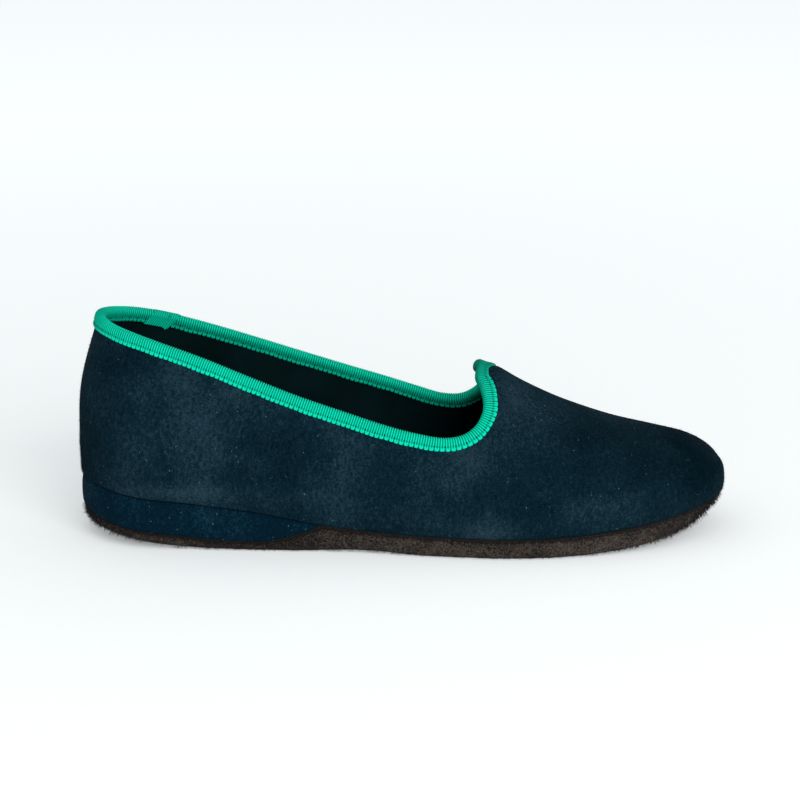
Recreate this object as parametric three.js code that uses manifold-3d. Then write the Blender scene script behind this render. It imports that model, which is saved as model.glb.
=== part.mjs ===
// A suede house slipper for the right foot. It has a one-piece upper whose vamp rises to a small peak,
// a ribbon binding folded over the collar, a covered heel wedge, a soft outsole and a padded insole.
// Millimetres, +Z up. The toe points to +X and the outer (little toe) side faces -Y.
// The group is centred over the middle of its own box, with the tread on Z = 0.

import * as THREE from "three";
import { mergeVertices } from "three/addons/utils/BufferGeometryUtils.js";
import Module from "manifold-3d";

const wasm = await Module();
wasm.setup();

// Driving sizes
const LENGTH = 258; // back of the heel to the tip of the toe
const BALL_WIDTH = 87; // across the upper's widest level at the ball
const HEEL_WIDTH = 61; // across the upper's widest level at the heel
const BACK_HEIGHT = 89; // floor to the edge of the wall at the back of the heel
const PEAK_HEIGHT = 68.8; // floor to the edge of the wall at the tip of the vamp
const THROAT_HEIGHT = 46; // floor to the edge of the wall at the lowest point of the collar
const OUTER_DIP = 3.4; // how much lower the collar runs on the outer side, under the ankle bone
const WALL = 1.8; // suede and lining together
const BINDING_WIDTH = 5.3; // fold to lower edge of the ribbon, on each face of the wall
const RIBBON = 0.8; // thickness of the ribbon
const SOLE_EDGE = 7.6; // thickness of the outsole's edge at the ball
const TREAD = 3.7; // thickness of the outsole under the wedge
const TREAD_TAPER = 0.25; // how much of its upward curl the outsole takes up by thinning
const WEDGE_RISE = 17; // how far the wedge lifts the back of the upper
const WEDGE_REACH = 96; // back of the heel to the front point of the wedge
const WEDGE_POINT = 0.5; // thickness of that point
const WEDGE_LIP = 0.3; // how far the wedge's covered side swells past the seam
const SWEEP_START = 0.76; // share of the reach where the underside begins to sweep up
const TOE_SPRING = 6; // how far the seam lifts at the tip of the toe
const ARCH_LIFT = 0.9; // how far the waist of the tread clears the floor
const SOLE_LIP = 1.2; // how far the outsole stands out past the seam at the ball
const SOLE_ROUND = 2; // how far the tread's edge rolls under
const INSOLE = 3; // thickness of the padded insole
const GAP = 0.3; // clearance between pieces that meet

// Steps of the meshes
const AROUND = 48; // columns on each side, heel to toe
const TUCK_STEPS = 3; // rows under the widest level
const WALL_STEPS = 12; // rows from the widest level to the ridge
const COLLAR_STEPS = 104; // sections of the binding
const FINE_STEPS = 400; // samples of the collar's edge before it is evenly divided
const FOLD_STEPS = 6; // facets of the ribbon's fold
const WEDGE_STEPS = 22; // columns on each side of the wedge
const NORMAL_STEP = 0.012; // turn between the points that give the face's direction

// Shape of the last
const TUCK_ANGLE = Math.PI / 3; // how far the wall turns under towards the seam
const TUCK = 0.065; // share of the half width that the wall turns in by
const TOE_TUCK = 0.9; // how far the toe turns in at the seam
const HEEL_CAP = 0.125; // share of the length that rounds the heel in plan
const TOE_CAP = 0.17; // share of the length that rounds the toe in plan
const TOE_RIDGE = 0.905; // share of the length where the top of the toe begins to drop
const TOE_FULLNESS = 2.6; // how square the drop of the toe is

// Plan of the upper's widest level. girth goes from the heel width to the ball width. outer and inner
// are the shares of that local width on the little-toe side and the big-toe side of the centre line,
// which swings to the big-toe side by the swing share.
const PLAN = [
  { at: 0.0, girth: 0.0, outer: 0.475, inner: 0.475, swing: 0.0 },
  { at: 0.1, girth: 0.0, outer: 0.49, inner: 0.485, swing: 0.0 },
  { at: 0.2, girth: 0.02, outer: 0.505, inner: 0.49, swing: 0.0 },
  { at: 0.32, girth: 0.14, outer: 0.5, inner: 0.465, swing: 0.0 },
  { at: 0.42, girth: 0.42, outer: 0.47, inner: 0.425, swing: 0.0 },
  { at: 0.52, girth: 0.76, outer: 0.472, inner: 0.43, swing: 0.0 },
  { at: 0.6, girth: 1.0, outer: 0.473, inner: 0.45, swing: 0.0 },
  { at: 0.66, girth: 1.0, outer: 0.487, inner: 0.49, swing: 0.0 },
  { at: 0.72, girth: 1.0, outer: 0.48, inner: 0.51, swing: 0.004 },
  { at: 0.8, girth: 1.0, outer: 0.449, inner: 0.488, swing: 0.014 },
  { at: 0.88, girth: 1.0, outer: 0.4, inner: 0.445, swing: 0.031 },
  { at: 0.94, girth: 1.0, outer: 0.37, inner: 0.42, swing: 0.045 },
  { at: 1.0, girth: 1.0, outer: 0.35, inner: 0.4, swing: 0.055 },
];

// Heights along the last. rise is the share of the wedge's rise under the seam, lift and tip the
// shares of the toe spring at the seam and at the tread, arch the share of the waist's lift, lip the
// share of the sole's lip, and bulge how far above the seam the widest level lies, as a share of the
// heel width.
const LEVELS = [
  { at: 0.0, rise: 1.0, lift: 0.0, tip: 1.1, arch: 0.0, lip: -1.5, bulge: 0.26 },
  { at: 0.03, rise: 0.93, lift: 0.0, tip: 0.8, arch: 0.0, lip: -1.0, bulge: 0.27 },
  { at: 0.06, rise: 0.85, lift: 0.0, tip: 0.45, arch: 0.0, lip: -0.6, bulge: 0.28 },
  { at: 0.1, rise: 0.77, lift: 0.0, tip: 0.14, arch: 0.0, lip: -0.4, bulge: 0.28 },
  { at: 0.16, rise: 0.69, lift: 0.0, tip: 0.0, arch: 0.0, lip: -0.2, bulge: 0.27 },
  { at: 0.265, rise: 0.5, lift: 0.0, tip: 0.0, arch: 0.0, lip: 0.1, bulge: 0.24 },
  { at: 0.33, rise: 0.32, lift: 0.0, tip: 0.0, arch: 0.0, lip: 0.4, bulge: 0.22 },
  { at: 0.37, rise: 0.2, lift: 0.0, tip: 0.0, arch: 0.25, lip: 0.6, bulge: 0.21 },
  { at: 0.42, rise: 0.105, lift: 0.0, tip: 0.0, arch: 0.9, lip: 0.9, bulge: 0.2 },
  { at: 0.46, rise: 0.065, lift: 0.0, tip: 0.0, arch: 1.0, lip: 1.0, bulge: 0.2 },
  { at: 0.53, rise: 0.02, lift: 0.0, tip: 0.0, arch: 0.0, lip: 1.0, bulge: 0.19 },
  { at: 0.65, rise: 0.0, lift: 0.0, tip: 0.0, arch: 0.0, lip: 1.0, bulge: 0.18 },
  { at: 0.73, rise: 0.0, lift: 0.04, tip: 0.0, arch: 0.0, lip: 1.0, bulge: 0.17 },
  { at: 0.8, rise: 0.0, lift: 0.15, tip: 0.06, arch: 0.0, lip: 0.95, bulge: 0.16 },
  { at: 0.88, rise: 0.0, lift: 0.38, tip: 0.28, arch: 0.0, lip: 0.85, bulge: 0.14 },
  { at: 0.94, rise: 0.0, lift: 0.65, tip: 0.6, arch: 0.0, lip: 0.5, bulge: 0.12 },
  { at: 1.0, rise: 0.0, lift: 1.0, tip: 1.7, arch: 0.0, lip: -0.3, bulge: 0.11 },
];

// The top of the last as a share of the peak's height, and how square its section is: 1 is a plain
// roof, 2 an ellipse. Behind the peak it is only the curve that the collar's walls lean towards.
const RIDGE = [
  { at: 0.0, top: 1.9, square: 1.85 },
  { at: 0.1, top: 1.82, square: 1.78 },
  { at: 0.2, top: 1.7, square: 2.12 },
  { at: 0.3, top: 1.56, square: 2.5 },
  { at: 0.4, top: 1.4, square: 2.5 },
  { at: 0.5, top: 1.19, square: 2.1 },
  { at: 0.57, top: 1.065, square: 1.68 },
  { at: 0.6202, top: 1.0, square: 1.52 },
  { at: 0.65, top: 0.948, square: 1.55 },
  { at: 0.7, top: 0.846, square: 1.65 },
  { at: 0.75, top: 0.758, square: 1.78 },
  { at: 0.8, top: 0.684, square: 1.92 },
  { at: 0.85, top: 0.624, square: 2.05 },
  { at: 0.9, top: 0.587, square: 2.15 },
  { at: 0.95, top: 0.565, square: 2.2 },
  { at: 1.0, top: 0.545, square: 2.2 },
];

// Back of the heel, seen from the side: height as a share of the back height, and how far forward
// the wall stands there, as a share of the heel width.
const BACK = [
  { at: 0.0, forward: 0.018 },
  { at: 0.1, forward: 0.016 },
  { at: 0.2, forward: 0.01 },
  { at: 0.3, forward: 0.003 },
  { at: 0.4, forward: 0.0 },
  { at: 0.5, forward: 0.0 },
  { at: 0.6, forward: 0.005 },
  { at: 0.7, forward: 0.022 },
  { at: 0.8, forward: 0.055 },
  { at: 0.9, forward: 0.098 },
  { at: 1.0, forward: 0.142 },
  { at: 1.2, forward: 0.23 },
  { at: 1.5, forward: 0.36 },
];

// Edge of the collar, seen from the side. along is a share of the length. drop goes from the back
// height (0) to the throat height (1) on the sides, where dip is the share of the outer side's dip.
// climb goes from the throat height (0) to the peak's height (1) on the vamp.
const COLLAR_SIDE = [
  { along: 0.055, drop: 0.034, dip: 0.0 },
  { along: 0.089, drop: 0.082, dip: 0.0 },
  { along: 0.135, drop: 0.158, dip: 0.0 },
  { along: 0.2, drop: 0.276, dip: 0.15 },
  { along: 0.27, drop: 0.412, dip: 0.5 },
  { along: 0.34, drop: 0.548, dip: 0.85 },
  { along: 0.41, drop: 0.68, dip: 1.0 },
  { along: 0.47, drop: 0.797, dip: 0.95 },
  { along: 0.52, drop: 0.9, dip: 0.6 },
  { along: 0.565, drop: 0.98, dip: 0.2 },
];
const COLLAR_VAMP = [
  { along: 0.595, climb: 0.05 },
  { along: 0.616, climb: 0.2 },
  { along: 0.6255, climb: 0.4 },
  { along: 0.6255, climb: 0.57 },
  { along: 0.6195, climb: 0.74 },
  { along: 0.6145, climb: 0.88 },
];
const PEAK_AT = 0.6202; // share of the length at which the edge crosses the ridge

// The value of one column of a table at a share of the length, on a smooth curve through its rows.
function smooth(table, column, share) {
  const last = table.length - 1;
  const s = Math.min(Math.max(share, table[0].at), table[last].at);
  let i = 0;
  while (i < last - 1 && table[i + 1].at < s) i += 1;
  const row = (k) => table[Math.min(Math.max(k, 0), last)];
  const slope = (k) => {
    const [before, after] = [row(k - 1), row(k + 1)];
    return (after[column] - before[column]) / (after.at - before.at);
  };
  const [low, high] = [row(i), row(i + 1)];
  const span = high.at - low.at;
  const u = (s - low.at) / span;
  const [u2, u3] = [u * u, u * u * u];
  return (
    (2 * u3 - 3 * u2 + 1) * low[column] +
    (u3 - 2 * u2 + u) * span * slope(i) +
    (3 * u2 - 2 * u3) * high[column] +
    (u3 - u2) * span * slope(i + 1)
  );
}

// The last: its levels and sections
const level = (column, x) => smooth(LEVELS, column, x / LENGTH);
const seamHeight = (x) => SOLE_EDGE + WEDGE_RISE * level("rise", x) + TOE_SPRING * level("lift", x);
const wideHeight = (x) => seamHeight(x) + HEEL_WIDTH * level("bulge", x);
const ridgeHeight = (x) => PEAK_HEIGHT * smooth(RIDGE, "top", x / LENGTH);
const squareness = (x) => smooth(RIDGE, "square", x / LENGTH);
const backLine = (z) => HEEL_WIDTH * smooth(BACK, "forward", z / BACK_HEIGHT);

// Width of the last at a share of the length, before its ends are rounded off.
const localWidth = (share) => HEEL_WIDTH + (BALL_WIDTH - HEEL_WIDTH) * smooth(PLAN, "girth", share);
const centreLine = (share) => BALL_WIDTH * smooth(PLAN, "swing", share);

// Half width of the widest level on one side, with the heel and the toe rounded off.
function halfWidth(share, side) {
  const cap = (from, reach) => {
    const u = Math.max(0, 1 - from / reach);
    return Math.sqrt(Math.max(0, 1 - u * u));
  };
  const width = localWidth(share) * smooth(PLAN, side, share);
  return width * cap(share, HEEL_CAP) * cap(1 - share, TOE_CAP);
}

// A superellipse as the direction angle runs from its side (0) to its top (a quarter turn).
function section(angle, square) {
  const [c, s] = [Math.max(0, Math.cos(angle)), Math.max(0, Math.sin(angle))];
  const reach = Math.pow(Math.pow(c, square) + Math.pow(s, square), -1 / square);
  return { across: c * reach, up: s * reach };
}

// How far the toe reaches at a level, which sets where that level's outline ends.
function toeLine(angle) {
  if (angle < 0) return LENGTH - TOE_TUCK * tuckShare(angle);
  const ridgeEnd = TOE_RIDGE * LENGTH;
  return ridgeEnd + (LENGTH - ridgeEnd) * section(angle, TOE_FULLNESS).across;
}

const tuckShare = (angle) => (1 - Math.cos(angle)) / (1 - Math.cos(TUCK_ANGLE));

// A point of the upper's outer face. around runs from the heel (0) along the outer side to the toe
// (pi) and back along the inner side. tilt runs from the seam (-TUCK_ANGLE) past the widest level
// (0) to the ridge (a quarter turn), and past that comes down the other side.
function lastPoint(around, tilt) {
  if (tilt > Math.PI / 2) return lastPoint(-around, Math.PI - tilt);
  const share = (1 - Math.cos(around)) / 2;
  const outward = Math.sin(around) >= 0 ? -1 : 1;
  const width = halfWidth(share, outward < 0 ? "outer" : "inner");
  let x = share * LENGTH;
  let z = 0;
  let across = 1;
  for (let pass = 0; pass < 6; pass += 1) {
    if (tilt < 0) {
      const below = Math.sin(-tilt) / Math.sin(TUCK_ANGLE);
      z = wideHeight(x) - (wideHeight(x) - seamHeight(x)) * below;
      across = 1 - TUCK * tuckShare(tilt);
    } else {
      const form = section(tilt, squareness(x));
      z = wideHeight(x) + (ridgeHeight(x) - wideHeight(x)) * form.up;
      across = form.across;
    }
    const back = backLine(z);
    x = back + (toeLine(tilt) - back) * share;
  }
  return new THREE.Vector3(x, centreLine(share) + outward * width * across, z);
}

// The outward normal of that face. On the ridge it is halfway between the two sides' normals.
function lastNormal(around, tilt) {
  const step = NORMAL_STEP;
  if (tilt === Math.PI / 2) {
    const beside = tilt - 2 * step;
    return lastNormal(around, beside).add(lastNormal(-around, beside)).normalize();
  }
  const along = lastPoint(around + step, tilt).sub(lastPoint(around - step, tilt));
  const up = lastPoint(around, tilt + step).sub(lastPoint(around, tilt - step));
  return along.cross(up).normalize();
}

// Where the face has a given place along the shoe and a given height, as around and tilt on one side.
function findOnLast(x, z, outward) {
  const up = Math.min(1, Math.max(0, (z - wideHeight(x)) / (ridgeHeight(x) - wideHeight(x))));
  const square = squareness(x);
  const across = Math.pow(1 - Math.pow(up, square), 1 / square);
  const tilt = Math.atan2(up, across);
  const back = backLine(z);
  const share = Math.min(1, Math.max(0, (x - back) / (toeLine(tilt) - back)));
  return { around: -outward * Math.acos(1 - 2 * share), tilt };
}

// The point of the face nearest to a target, found by small steps from a guess.
function nearestOnLast(target, guess) {
  const step = 0.004;
  let { around, tilt } = guess;
  for (let pass = 0; pass < 8; pass += 1) {
    const here = lastPoint(around, tilt);
    const a = lastPoint(around + step, tilt).sub(here).divideScalar(step);
    const b = lastPoint(around, tilt - step).sub(here).divideScalar(-step);
    const miss = target.clone().sub(here);
    const [aa, ab, bb] = [a.dot(a), a.dot(b), b.dot(b)];
    const [am, bm] = [a.dot(miss), b.dot(miss)];
    const det = aa * bb - ab * ab;
    around += (am * bb - bm * ab) / det;
    tilt += (bm * aa - am * ab) / det;
  }
  return { around, tilt };
}

// Turns rings of points, each with the same number of them, into one solid. Rings that aren't closed
// into a loop end in a flat lid, drawn from each point of the end ring to the one across from it.
function skin(rings, { loop = false } = {}) {
  const count = rings[0].length;
  const positions = rings.flat().flatMap((p) => [p.x, p.y, p.z]);
  const index = [];
  const triangle = (a, b, c) => {
    if (a !== b && b !== c && c !== a) index.push(a, b, c);
  };
  const quad = (a, b, c, d) => {
    triangle(a, b, c);
    triangle(a, c, d);
  };
  for (let r = 0; r < rings.length - (loop ? 0 : 1); r += 1) {
    const [low, high] = [r * count, ((r + 1) % rings.length) * count];
    for (let i = 0; i < count; i += 1) {
      const j = (i + 1) % count;
      quad(low + i, low + j, high + j, high + i);
    }
  }
  const lid = (start, up) => {
    for (let i = 0; i < Math.floor(count / 2); i += 1) {
      const [a, b] = [start + i, start + i + 1];
      const [c, d] = [start + count - i - 1, start + ((count - i) % count)];
      if (up) quad(a, b, c, d);
      else quad(d, c, b, a);
    }
  };
  const folded = (ring) => ring.every((p, i) => p.distanceTo(ring[(count - i) % count]) < 1e-6);
  if (!loop && !folded(rings[0])) lid(0, false);
  if (!loop && !folded(rings[rings.length - 1])) lid((rings.length - 1) * count, true);
  const geometry = new THREE.BufferGeometry();
  geometry.setAttribute("position", new THREE.Float32BufferAttribute(positions, 3));
  geometry.setIndex(index);
  return geometry;
}

// A closed three.js shape as a solid that can be cut.
function solidOf(geometry) {
  const bare = geometry.clone();
  bare.deleteAttribute("normal");
  bare.deleteAttribute("uv");
  const merged = mergeVertices(bare, 1e-4);
  return new wasm.Manifold(
    new wasm.Mesh({
      numProp: 3,
      vertProperties: merged.attributes.position.array,
      triVerts: new Uint32Array(merged.index.array),
    }),
  );
}

function geometryOf(solid) {
  const mesh = solid.getMesh();
  const geometry = new THREE.BufferGeometry();
  geometry.setAttribute("position", new THREE.BufferAttribute(mesh.vertProperties, 3));
  geometry.setIndex(new THREE.BufferAttribute(mesh.triVerts, 1));
  geometry.computeVertexNormals();
  return geometry;
}

const turn = (i) => (Math.PI * i) / AROUND;
const columns = Array.from({ length: 2 * AROUND }, (_, i) => turn(i));

// Edge of the collar as a line seen from one side, from the back of the heel to the tip of the vamp
function collarLine(outward) {
  const start = new THREE.Vector3(backLine(BACK_HEIGHT), 0, BACK_HEIGHT);
  const side = COLLAR_SIDE.map(({ along, drop, dip }) => {
    const lower = outward < 0 ? OUTER_DIP * dip : 0;
    const height = BACK_HEIGHT + (THROAT_HEIGHT - BACK_HEIGHT) * drop;
    return new THREE.Vector3(along * LENGTH, 0, height - lower);
  });
  const vamp = COLLAR_VAMP.map(({ along, climb }) => {
    const height = THROAT_HEIGHT + (PEAK_HEIGHT - THROAT_HEIGHT) * climb;
    return new THREE.Vector3(along * LENGTH, 0, height);
  });
  const peak = new THREE.Vector3(PEAK_AT * LENGTH, 0, ridgeHeight(PEAK_AT * LENGTH));
  return new THREE.CatmullRomCurve3([start, ...side, ...vamp, peak], false, "centripetal");
}

// The same edge on the wall itself, in even steps all the way round, with the wall's outward normal.
function collarEdge() {
  const half = (outward) => {
    const line = collarLine(outward);
    return Array.from({ length: FINE_STEPS + 1 }, (_, i) => {
      const p = line.getPoint((1 - Math.cos((Math.PI * i) / FINE_STEPS)) / 2);
      const { around, tilt } = findOnLast(p.x, p.z, outward);
      return lastPoint(around, tilt);
    });
  };
  const outer = half(-1);
  const inner = half(1).reverse();
  const spaced = (points, steps) => {
    const path = new THREE.CatmullRomCurve3(points, false, "centripetal");
    path.arcLengthDivisions = 5 * FINE_STEPS;
    return path.getSpacedPoints(steps).slice(0, -1);
  };
  const loop = [...spaced(outer, COLLAR_STEPS / 2), ...spaced(inner, COLLAR_STEPS / 2)];
  return loop.map((point) => {
    const spot = nearestOnLast(point, findOnLast(point.x, point.z, point.y < 0 ? -1 : 1));
    return { point, spot, out: lastNormal(spot.around, spot.tilt) };
  });
}

// The block of air over the collar. It cuts the wall square to its faces, along the edge.
function collarCutter() {
  const edge = collarEdge();
  const shifted = (amount) =>
    edge.map(({ point, out }) => point.clone().addScaledVector(out, amount));
  const below = shifted(-2 * WALL);
  const beside = shifted(2 * WALL);
  const above = beside.map((p) => p.clone().setZ(2 * BACK_HEIGHT));
  return solidOf(skin([below, beside, above]));
}

function makeUpper() {
  const tilts = [
    ...Array.from({ length: TUCK_STEPS }, (_, i) => -TUCK_ANGLE * (1 - i / TUCK_STEPS)),
    ...Array.from({ length: WALL_STEPS + 1 }, (_, i) => ((Math.PI / 2) * i) / WALL_STEPS),
  ];
  const ring = (tilt, inset) =>
    columns.map((around) =>
      lastPoint(around, tilt).addScaledVector(lastNormal(around, tilt), -inset),
    );
  const outside = tilts.map((tilt) => ring(tilt, 0));
  const inside = tilts.map((tilt) => ring(tilt, WALL)).reverse();
  inside[inside.length - 1].forEach((p, i) => p.setZ(outside[0][i].z));
  return geometryOf(solidOf(skin([...inside, ...outside])).subtract(collarCutter()));
}

// The ribbon is a channel over the edge of the wall. Its section is drawn with depth measured down
// the wall from the edge, and height outwards from the wall's outer face.
function makeBinding() {
  const leg = BINDING_WIDTH - RIBBON - GAP;
  const outerFace = GAP + RIBBON;
  const innerFace = -WALL - GAP - RIBBON;
  const middle = (outerFace + innerFace) / 2;
  const fold = Array.from({ length: FOLD_STEPS + 1 }, (_, i) => {
    const angle = (Math.PI * i) / FOLD_STEPS;
    return {
      depth: -(RIBBON + GAP) * Math.sin(angle),
      height: middle + (outerFace - middle) * Math.cos(angle),
    };
  });
  const profile = [
    { depth: leg, height: outerFace },
    { depth: leg / 2, height: outerFace },
    ...fold,
    { depth: leg / 2, height: innerFace },
    { depth: leg, height: innerFace },
    { depth: leg, height: -WALL - GAP },
    { depth: leg / 2, height: -WALL - GAP },
    { depth: -GAP, height: -WALL - GAP },
    { depth: -GAP, height: GAP },
    { depth: leg / 2, height: GAP },
    { depth: leg, height: GAP },
  ];
  const edge = collarEdge();
  const rings = edge.map(({ point, spot, out }, i) => {
    const before = edge[(i + edge.length - 1) % edge.length].point;
    const after = edge[(i + 1) % edge.length].point;
    const down = after.clone().sub(before).cross(out).normalize();
    return profile.map(({ depth, height }) => {
      const target = point.clone().addScaledVector(down, depth);
      if (depth <= 0) return target.addScaledVector(out, height);
      const { around, tilt } = nearestOnLast(target, spot);
      return lastPoint(around, tilt).addScaledVector(lastNormal(around, tilt), height);
    });
  });
  return skin(rings.reverse(), { loop: true });
}

// The seam's outline in plan, moved outwards by a margin worked out for each place along the shoe,
// heel first, round by the outer side and back by the inner side.
function seamOutline(margin, turns = columns) {
  const seamPoint = (around) => lastPoint(around, -TUCK_ANGLE);
  return turns.map((around) => {
    const p = seamPoint(around);
    const along = seamPoint(around + NORMAL_STEP).sub(seamPoint(around - NORMAL_STEP));
    const out = new THREE.Vector3(along.y, -along.x, 0).normalize();
    return p.addScaledVector(out, margin(p.x));
  });
}

const treadHeight = (x) =>
  Math.max(0, TOE_SPRING * level("tip", x) + ARCH_LIFT * level("arch", x));

// Underside of the wedge: level under the heel, then sweeping up to its front point.
function wedgeUnderside(x) {
  const start = SWEEP_START * WEDGE_REACH;
  const swept = Math.min(1, Math.max(0, (x - start) / (WEDGE_REACH - start)));
  const flat = TREAD + (1 - TREAD_TAPER) * treadHeight(x);
  const point = seamHeight(WEDGE_REACH) - GAP - WEDGE_POINT;
  return flat + (point - flat) * Math.pow(swept, 1.5);
}

const soleTop = (x) => (x < WEDGE_REACH ? wedgeUnderside(x) - GAP : seamHeight(x) - GAP);

function makeSole() {
  const rolls = [
    { down: 1.0, under: 1.0 },
    { down: 0.93, under: 0.45 },
    { down: 0.78, under: 0.1 },
    { down: 0.55, under: 0.0 },
    { down: 0.12, under: 0.0 },
    { down: 0.0, under: 0.35 },
  ];
  const rings = rolls.map(({ down, under }) => {
    const margin = (x) => SOLE_LIP * level("lip", x) - SOLE_ROUND * under;
    return seamOutline(margin).map((p) => {
      const [top, bottom] = [soleTop(p.x), treadHeight(p.x)];
      return p.setZ(top + (bottom - top) * down);
    });
  });
  return skin(rings);
}

function makeWedge() {
  const back = backLine(seamHeight(0));
  const front = Math.acos(1 - (2 * (WEDGE_REACH - back)) / (LENGTH - back));
  const outer = Array.from({ length: WEDGE_STEPS + 1 }, (_, i) => (front * i) / WEDGE_STEPS);
  const inner = outer.slice(1).reverse().map((around) => -around);
  const rings = [
    { up: 0, margin: -WEDGE_LIP },
    { up: 0.2, margin: WEDGE_LIP },
    { up: 0.8, margin: WEDGE_LIP },
    { up: 1, margin: 0 },
  ].map(({ up, margin }) =>
    seamOutline(() => margin, [...outer, ...inner]).map((p) => {
      const [top, bottom] = [seamHeight(p.x) - GAP, wedgeUnderside(p.x)];
      return p.setZ(bottom + (top - bottom) * up);
    }),
  );
  return skin(rings);
}

function makeInsole() {
  const inset = WALL + 2 * GAP;
  const rings = [
    { up: 0, rounding: 0.8 },
    { up: 0.5, rounding: 0 },
    { up: 0.85, rounding: 0.2 },
    { up: 1, rounding: 1.4 },
  ].map(({ up, rounding }) =>
    seamOutline(() => -inset - rounding).map((p) => p.setZ(seamHeight(p.x) + INSOLE * up)),
  );
  return skin(rings);
}

// Colours and finishes
const suede = new THREE.MeshStandardMaterial({ color: 0x0e2231, roughness: 0.95 });
const wedgeSuede = new THREE.MeshStandardMaterial({ color: 0x0b2233, roughness: 0.95 });
const ribbon = new THREE.MeshStandardMaterial({ color: 0x0fb48c, roughness: 0.6 });
const soleSuede = new THREE.MeshStandardMaterial({ color: 0x3a2a26, roughness: 1 });
const lining = new THREE.MeshStandardMaterial({ color: 0x0a0f14, roughness: 0.8 });

const shoe = new THREE.Group();
const add = (name, geometry, material) => {
  const mesh = new THREE.Mesh(geometry, material);
  mesh.name = name;
  shoe.add(mesh);
};
add("upper", makeUpper(), suede);
add("collar_binding", makeBinding(), ribbon);
add("heel_wedge", makeWedge(), wedgeSuede);
add("outsole", makeSole(), soleSuede);
add("insole", makeInsole(), lining);

const middle = new THREE.Box3().setFromObject(shoe).getCenter(new THREE.Vector3());
shoe.position.set(-middle.x, -middle.y, 0);

export default shoe;
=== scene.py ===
"""A navy suede house slipper with a green grosgrain binding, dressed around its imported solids."""

import math
import random
from functools import partial

import bmesh
import bpy
import numpy as np
from mathutils import Matrix, Vector, noise


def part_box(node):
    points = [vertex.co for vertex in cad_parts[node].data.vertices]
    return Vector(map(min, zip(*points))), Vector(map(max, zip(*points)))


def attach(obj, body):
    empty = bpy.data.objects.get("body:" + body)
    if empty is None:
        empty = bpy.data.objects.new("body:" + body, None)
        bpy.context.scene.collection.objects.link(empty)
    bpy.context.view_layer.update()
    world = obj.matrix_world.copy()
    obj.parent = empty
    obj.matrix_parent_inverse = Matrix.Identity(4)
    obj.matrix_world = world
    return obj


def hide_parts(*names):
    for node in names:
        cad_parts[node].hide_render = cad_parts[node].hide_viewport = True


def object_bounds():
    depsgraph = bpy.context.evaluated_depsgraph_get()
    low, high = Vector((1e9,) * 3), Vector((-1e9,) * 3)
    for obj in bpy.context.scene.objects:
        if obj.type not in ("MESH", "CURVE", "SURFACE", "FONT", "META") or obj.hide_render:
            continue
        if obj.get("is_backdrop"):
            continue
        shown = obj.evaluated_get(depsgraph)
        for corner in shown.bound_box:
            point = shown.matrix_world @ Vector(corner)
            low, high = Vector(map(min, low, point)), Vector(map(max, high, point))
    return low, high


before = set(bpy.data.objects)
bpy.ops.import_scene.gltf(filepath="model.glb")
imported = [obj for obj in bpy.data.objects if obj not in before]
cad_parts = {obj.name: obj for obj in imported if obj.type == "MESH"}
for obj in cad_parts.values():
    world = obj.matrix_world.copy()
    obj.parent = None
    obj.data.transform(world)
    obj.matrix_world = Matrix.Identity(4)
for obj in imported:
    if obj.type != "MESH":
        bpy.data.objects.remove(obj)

bl_info = {
    "name": "Suede slipper",
    "version": (1, 0, 0),
    "blender": (4, 5, 0),
    "location": "View3D > Sidebar > Slipper",
    "description": "Builds the slipper's suede, ribbon, stitches and sole, and the stage it stands on",
    "category": "Object",
}

MM = 0.001
QUARTER = math.pi / 2
CAD_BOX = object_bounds()

# Shape of the last
TUCK_ANGLE = math.pi / 3  # how far the wall turns under towards the seam
TUCK = 0.065  # share of the half width that the wall turns in by
TOE_TUCK = 0.9 * MM  # how far the wall turns in at the tip of the toe
HEEL_CAP = 0.125  # share of the length that rounds the heel in plan
TOE_CAP = 0.17  # share of the length that rounds the toe in plan
TOE_RIDGE = 0.905  # share of the length where the top of the toe begins to drop
TOE_FULLNESS = 2.1  # how square the drop of the toe is
PEAK_AT = 0.6202  # share of the length at which the collar's edge crosses the ridge
SWEEP_START = 0.76  # share of the wedge's reach where its underside begins to sweep up
WEDGE_POINT = 0.5 * MM  # thickness of the wedge at its front point
HEEL_SWELL = 1 * MM  # how much thicker the sole is under the middle of the heel

# Fine relief and loose hairs
TOE_FRONT = 1.3 * MM  # how far the front of the toe stands out past the last
BACK_SEAM = 0.45 * MM  # depth of the seam up the back of the heel
CORD = 0.42 * MM  # height of one of the ribbon's cords
LOOP = 0.45 * MM  # how far the ribbon's looped edge waves outwards and downwards
GROOVE = 0.25 * MM  # depth of the groove that the stitches pull into the ribbon
LAP_LENGTH = 11 * MM  # length of the ribbon's lapped end
LAP_SLANT = 4 * MM  # how far the lapped end's cut leans
LAP_FROM_HEEL = 41.5 * MM  # where the lap starts, along the inner side of the collar
FIBRES = 9500  # loose fibres of the sole
FUZZ = 6000  # hairs of the suede that show against the light

# The picture
CAMERA_AIM = (128 * MM, 0, 53.3 * MM)  # from the back of the heel at the floor
CAMERA_DISTANCE = 1000 * MM
CAMERA_TILT = math.radians(16)
CAMERA_LENS = 112.5


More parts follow.
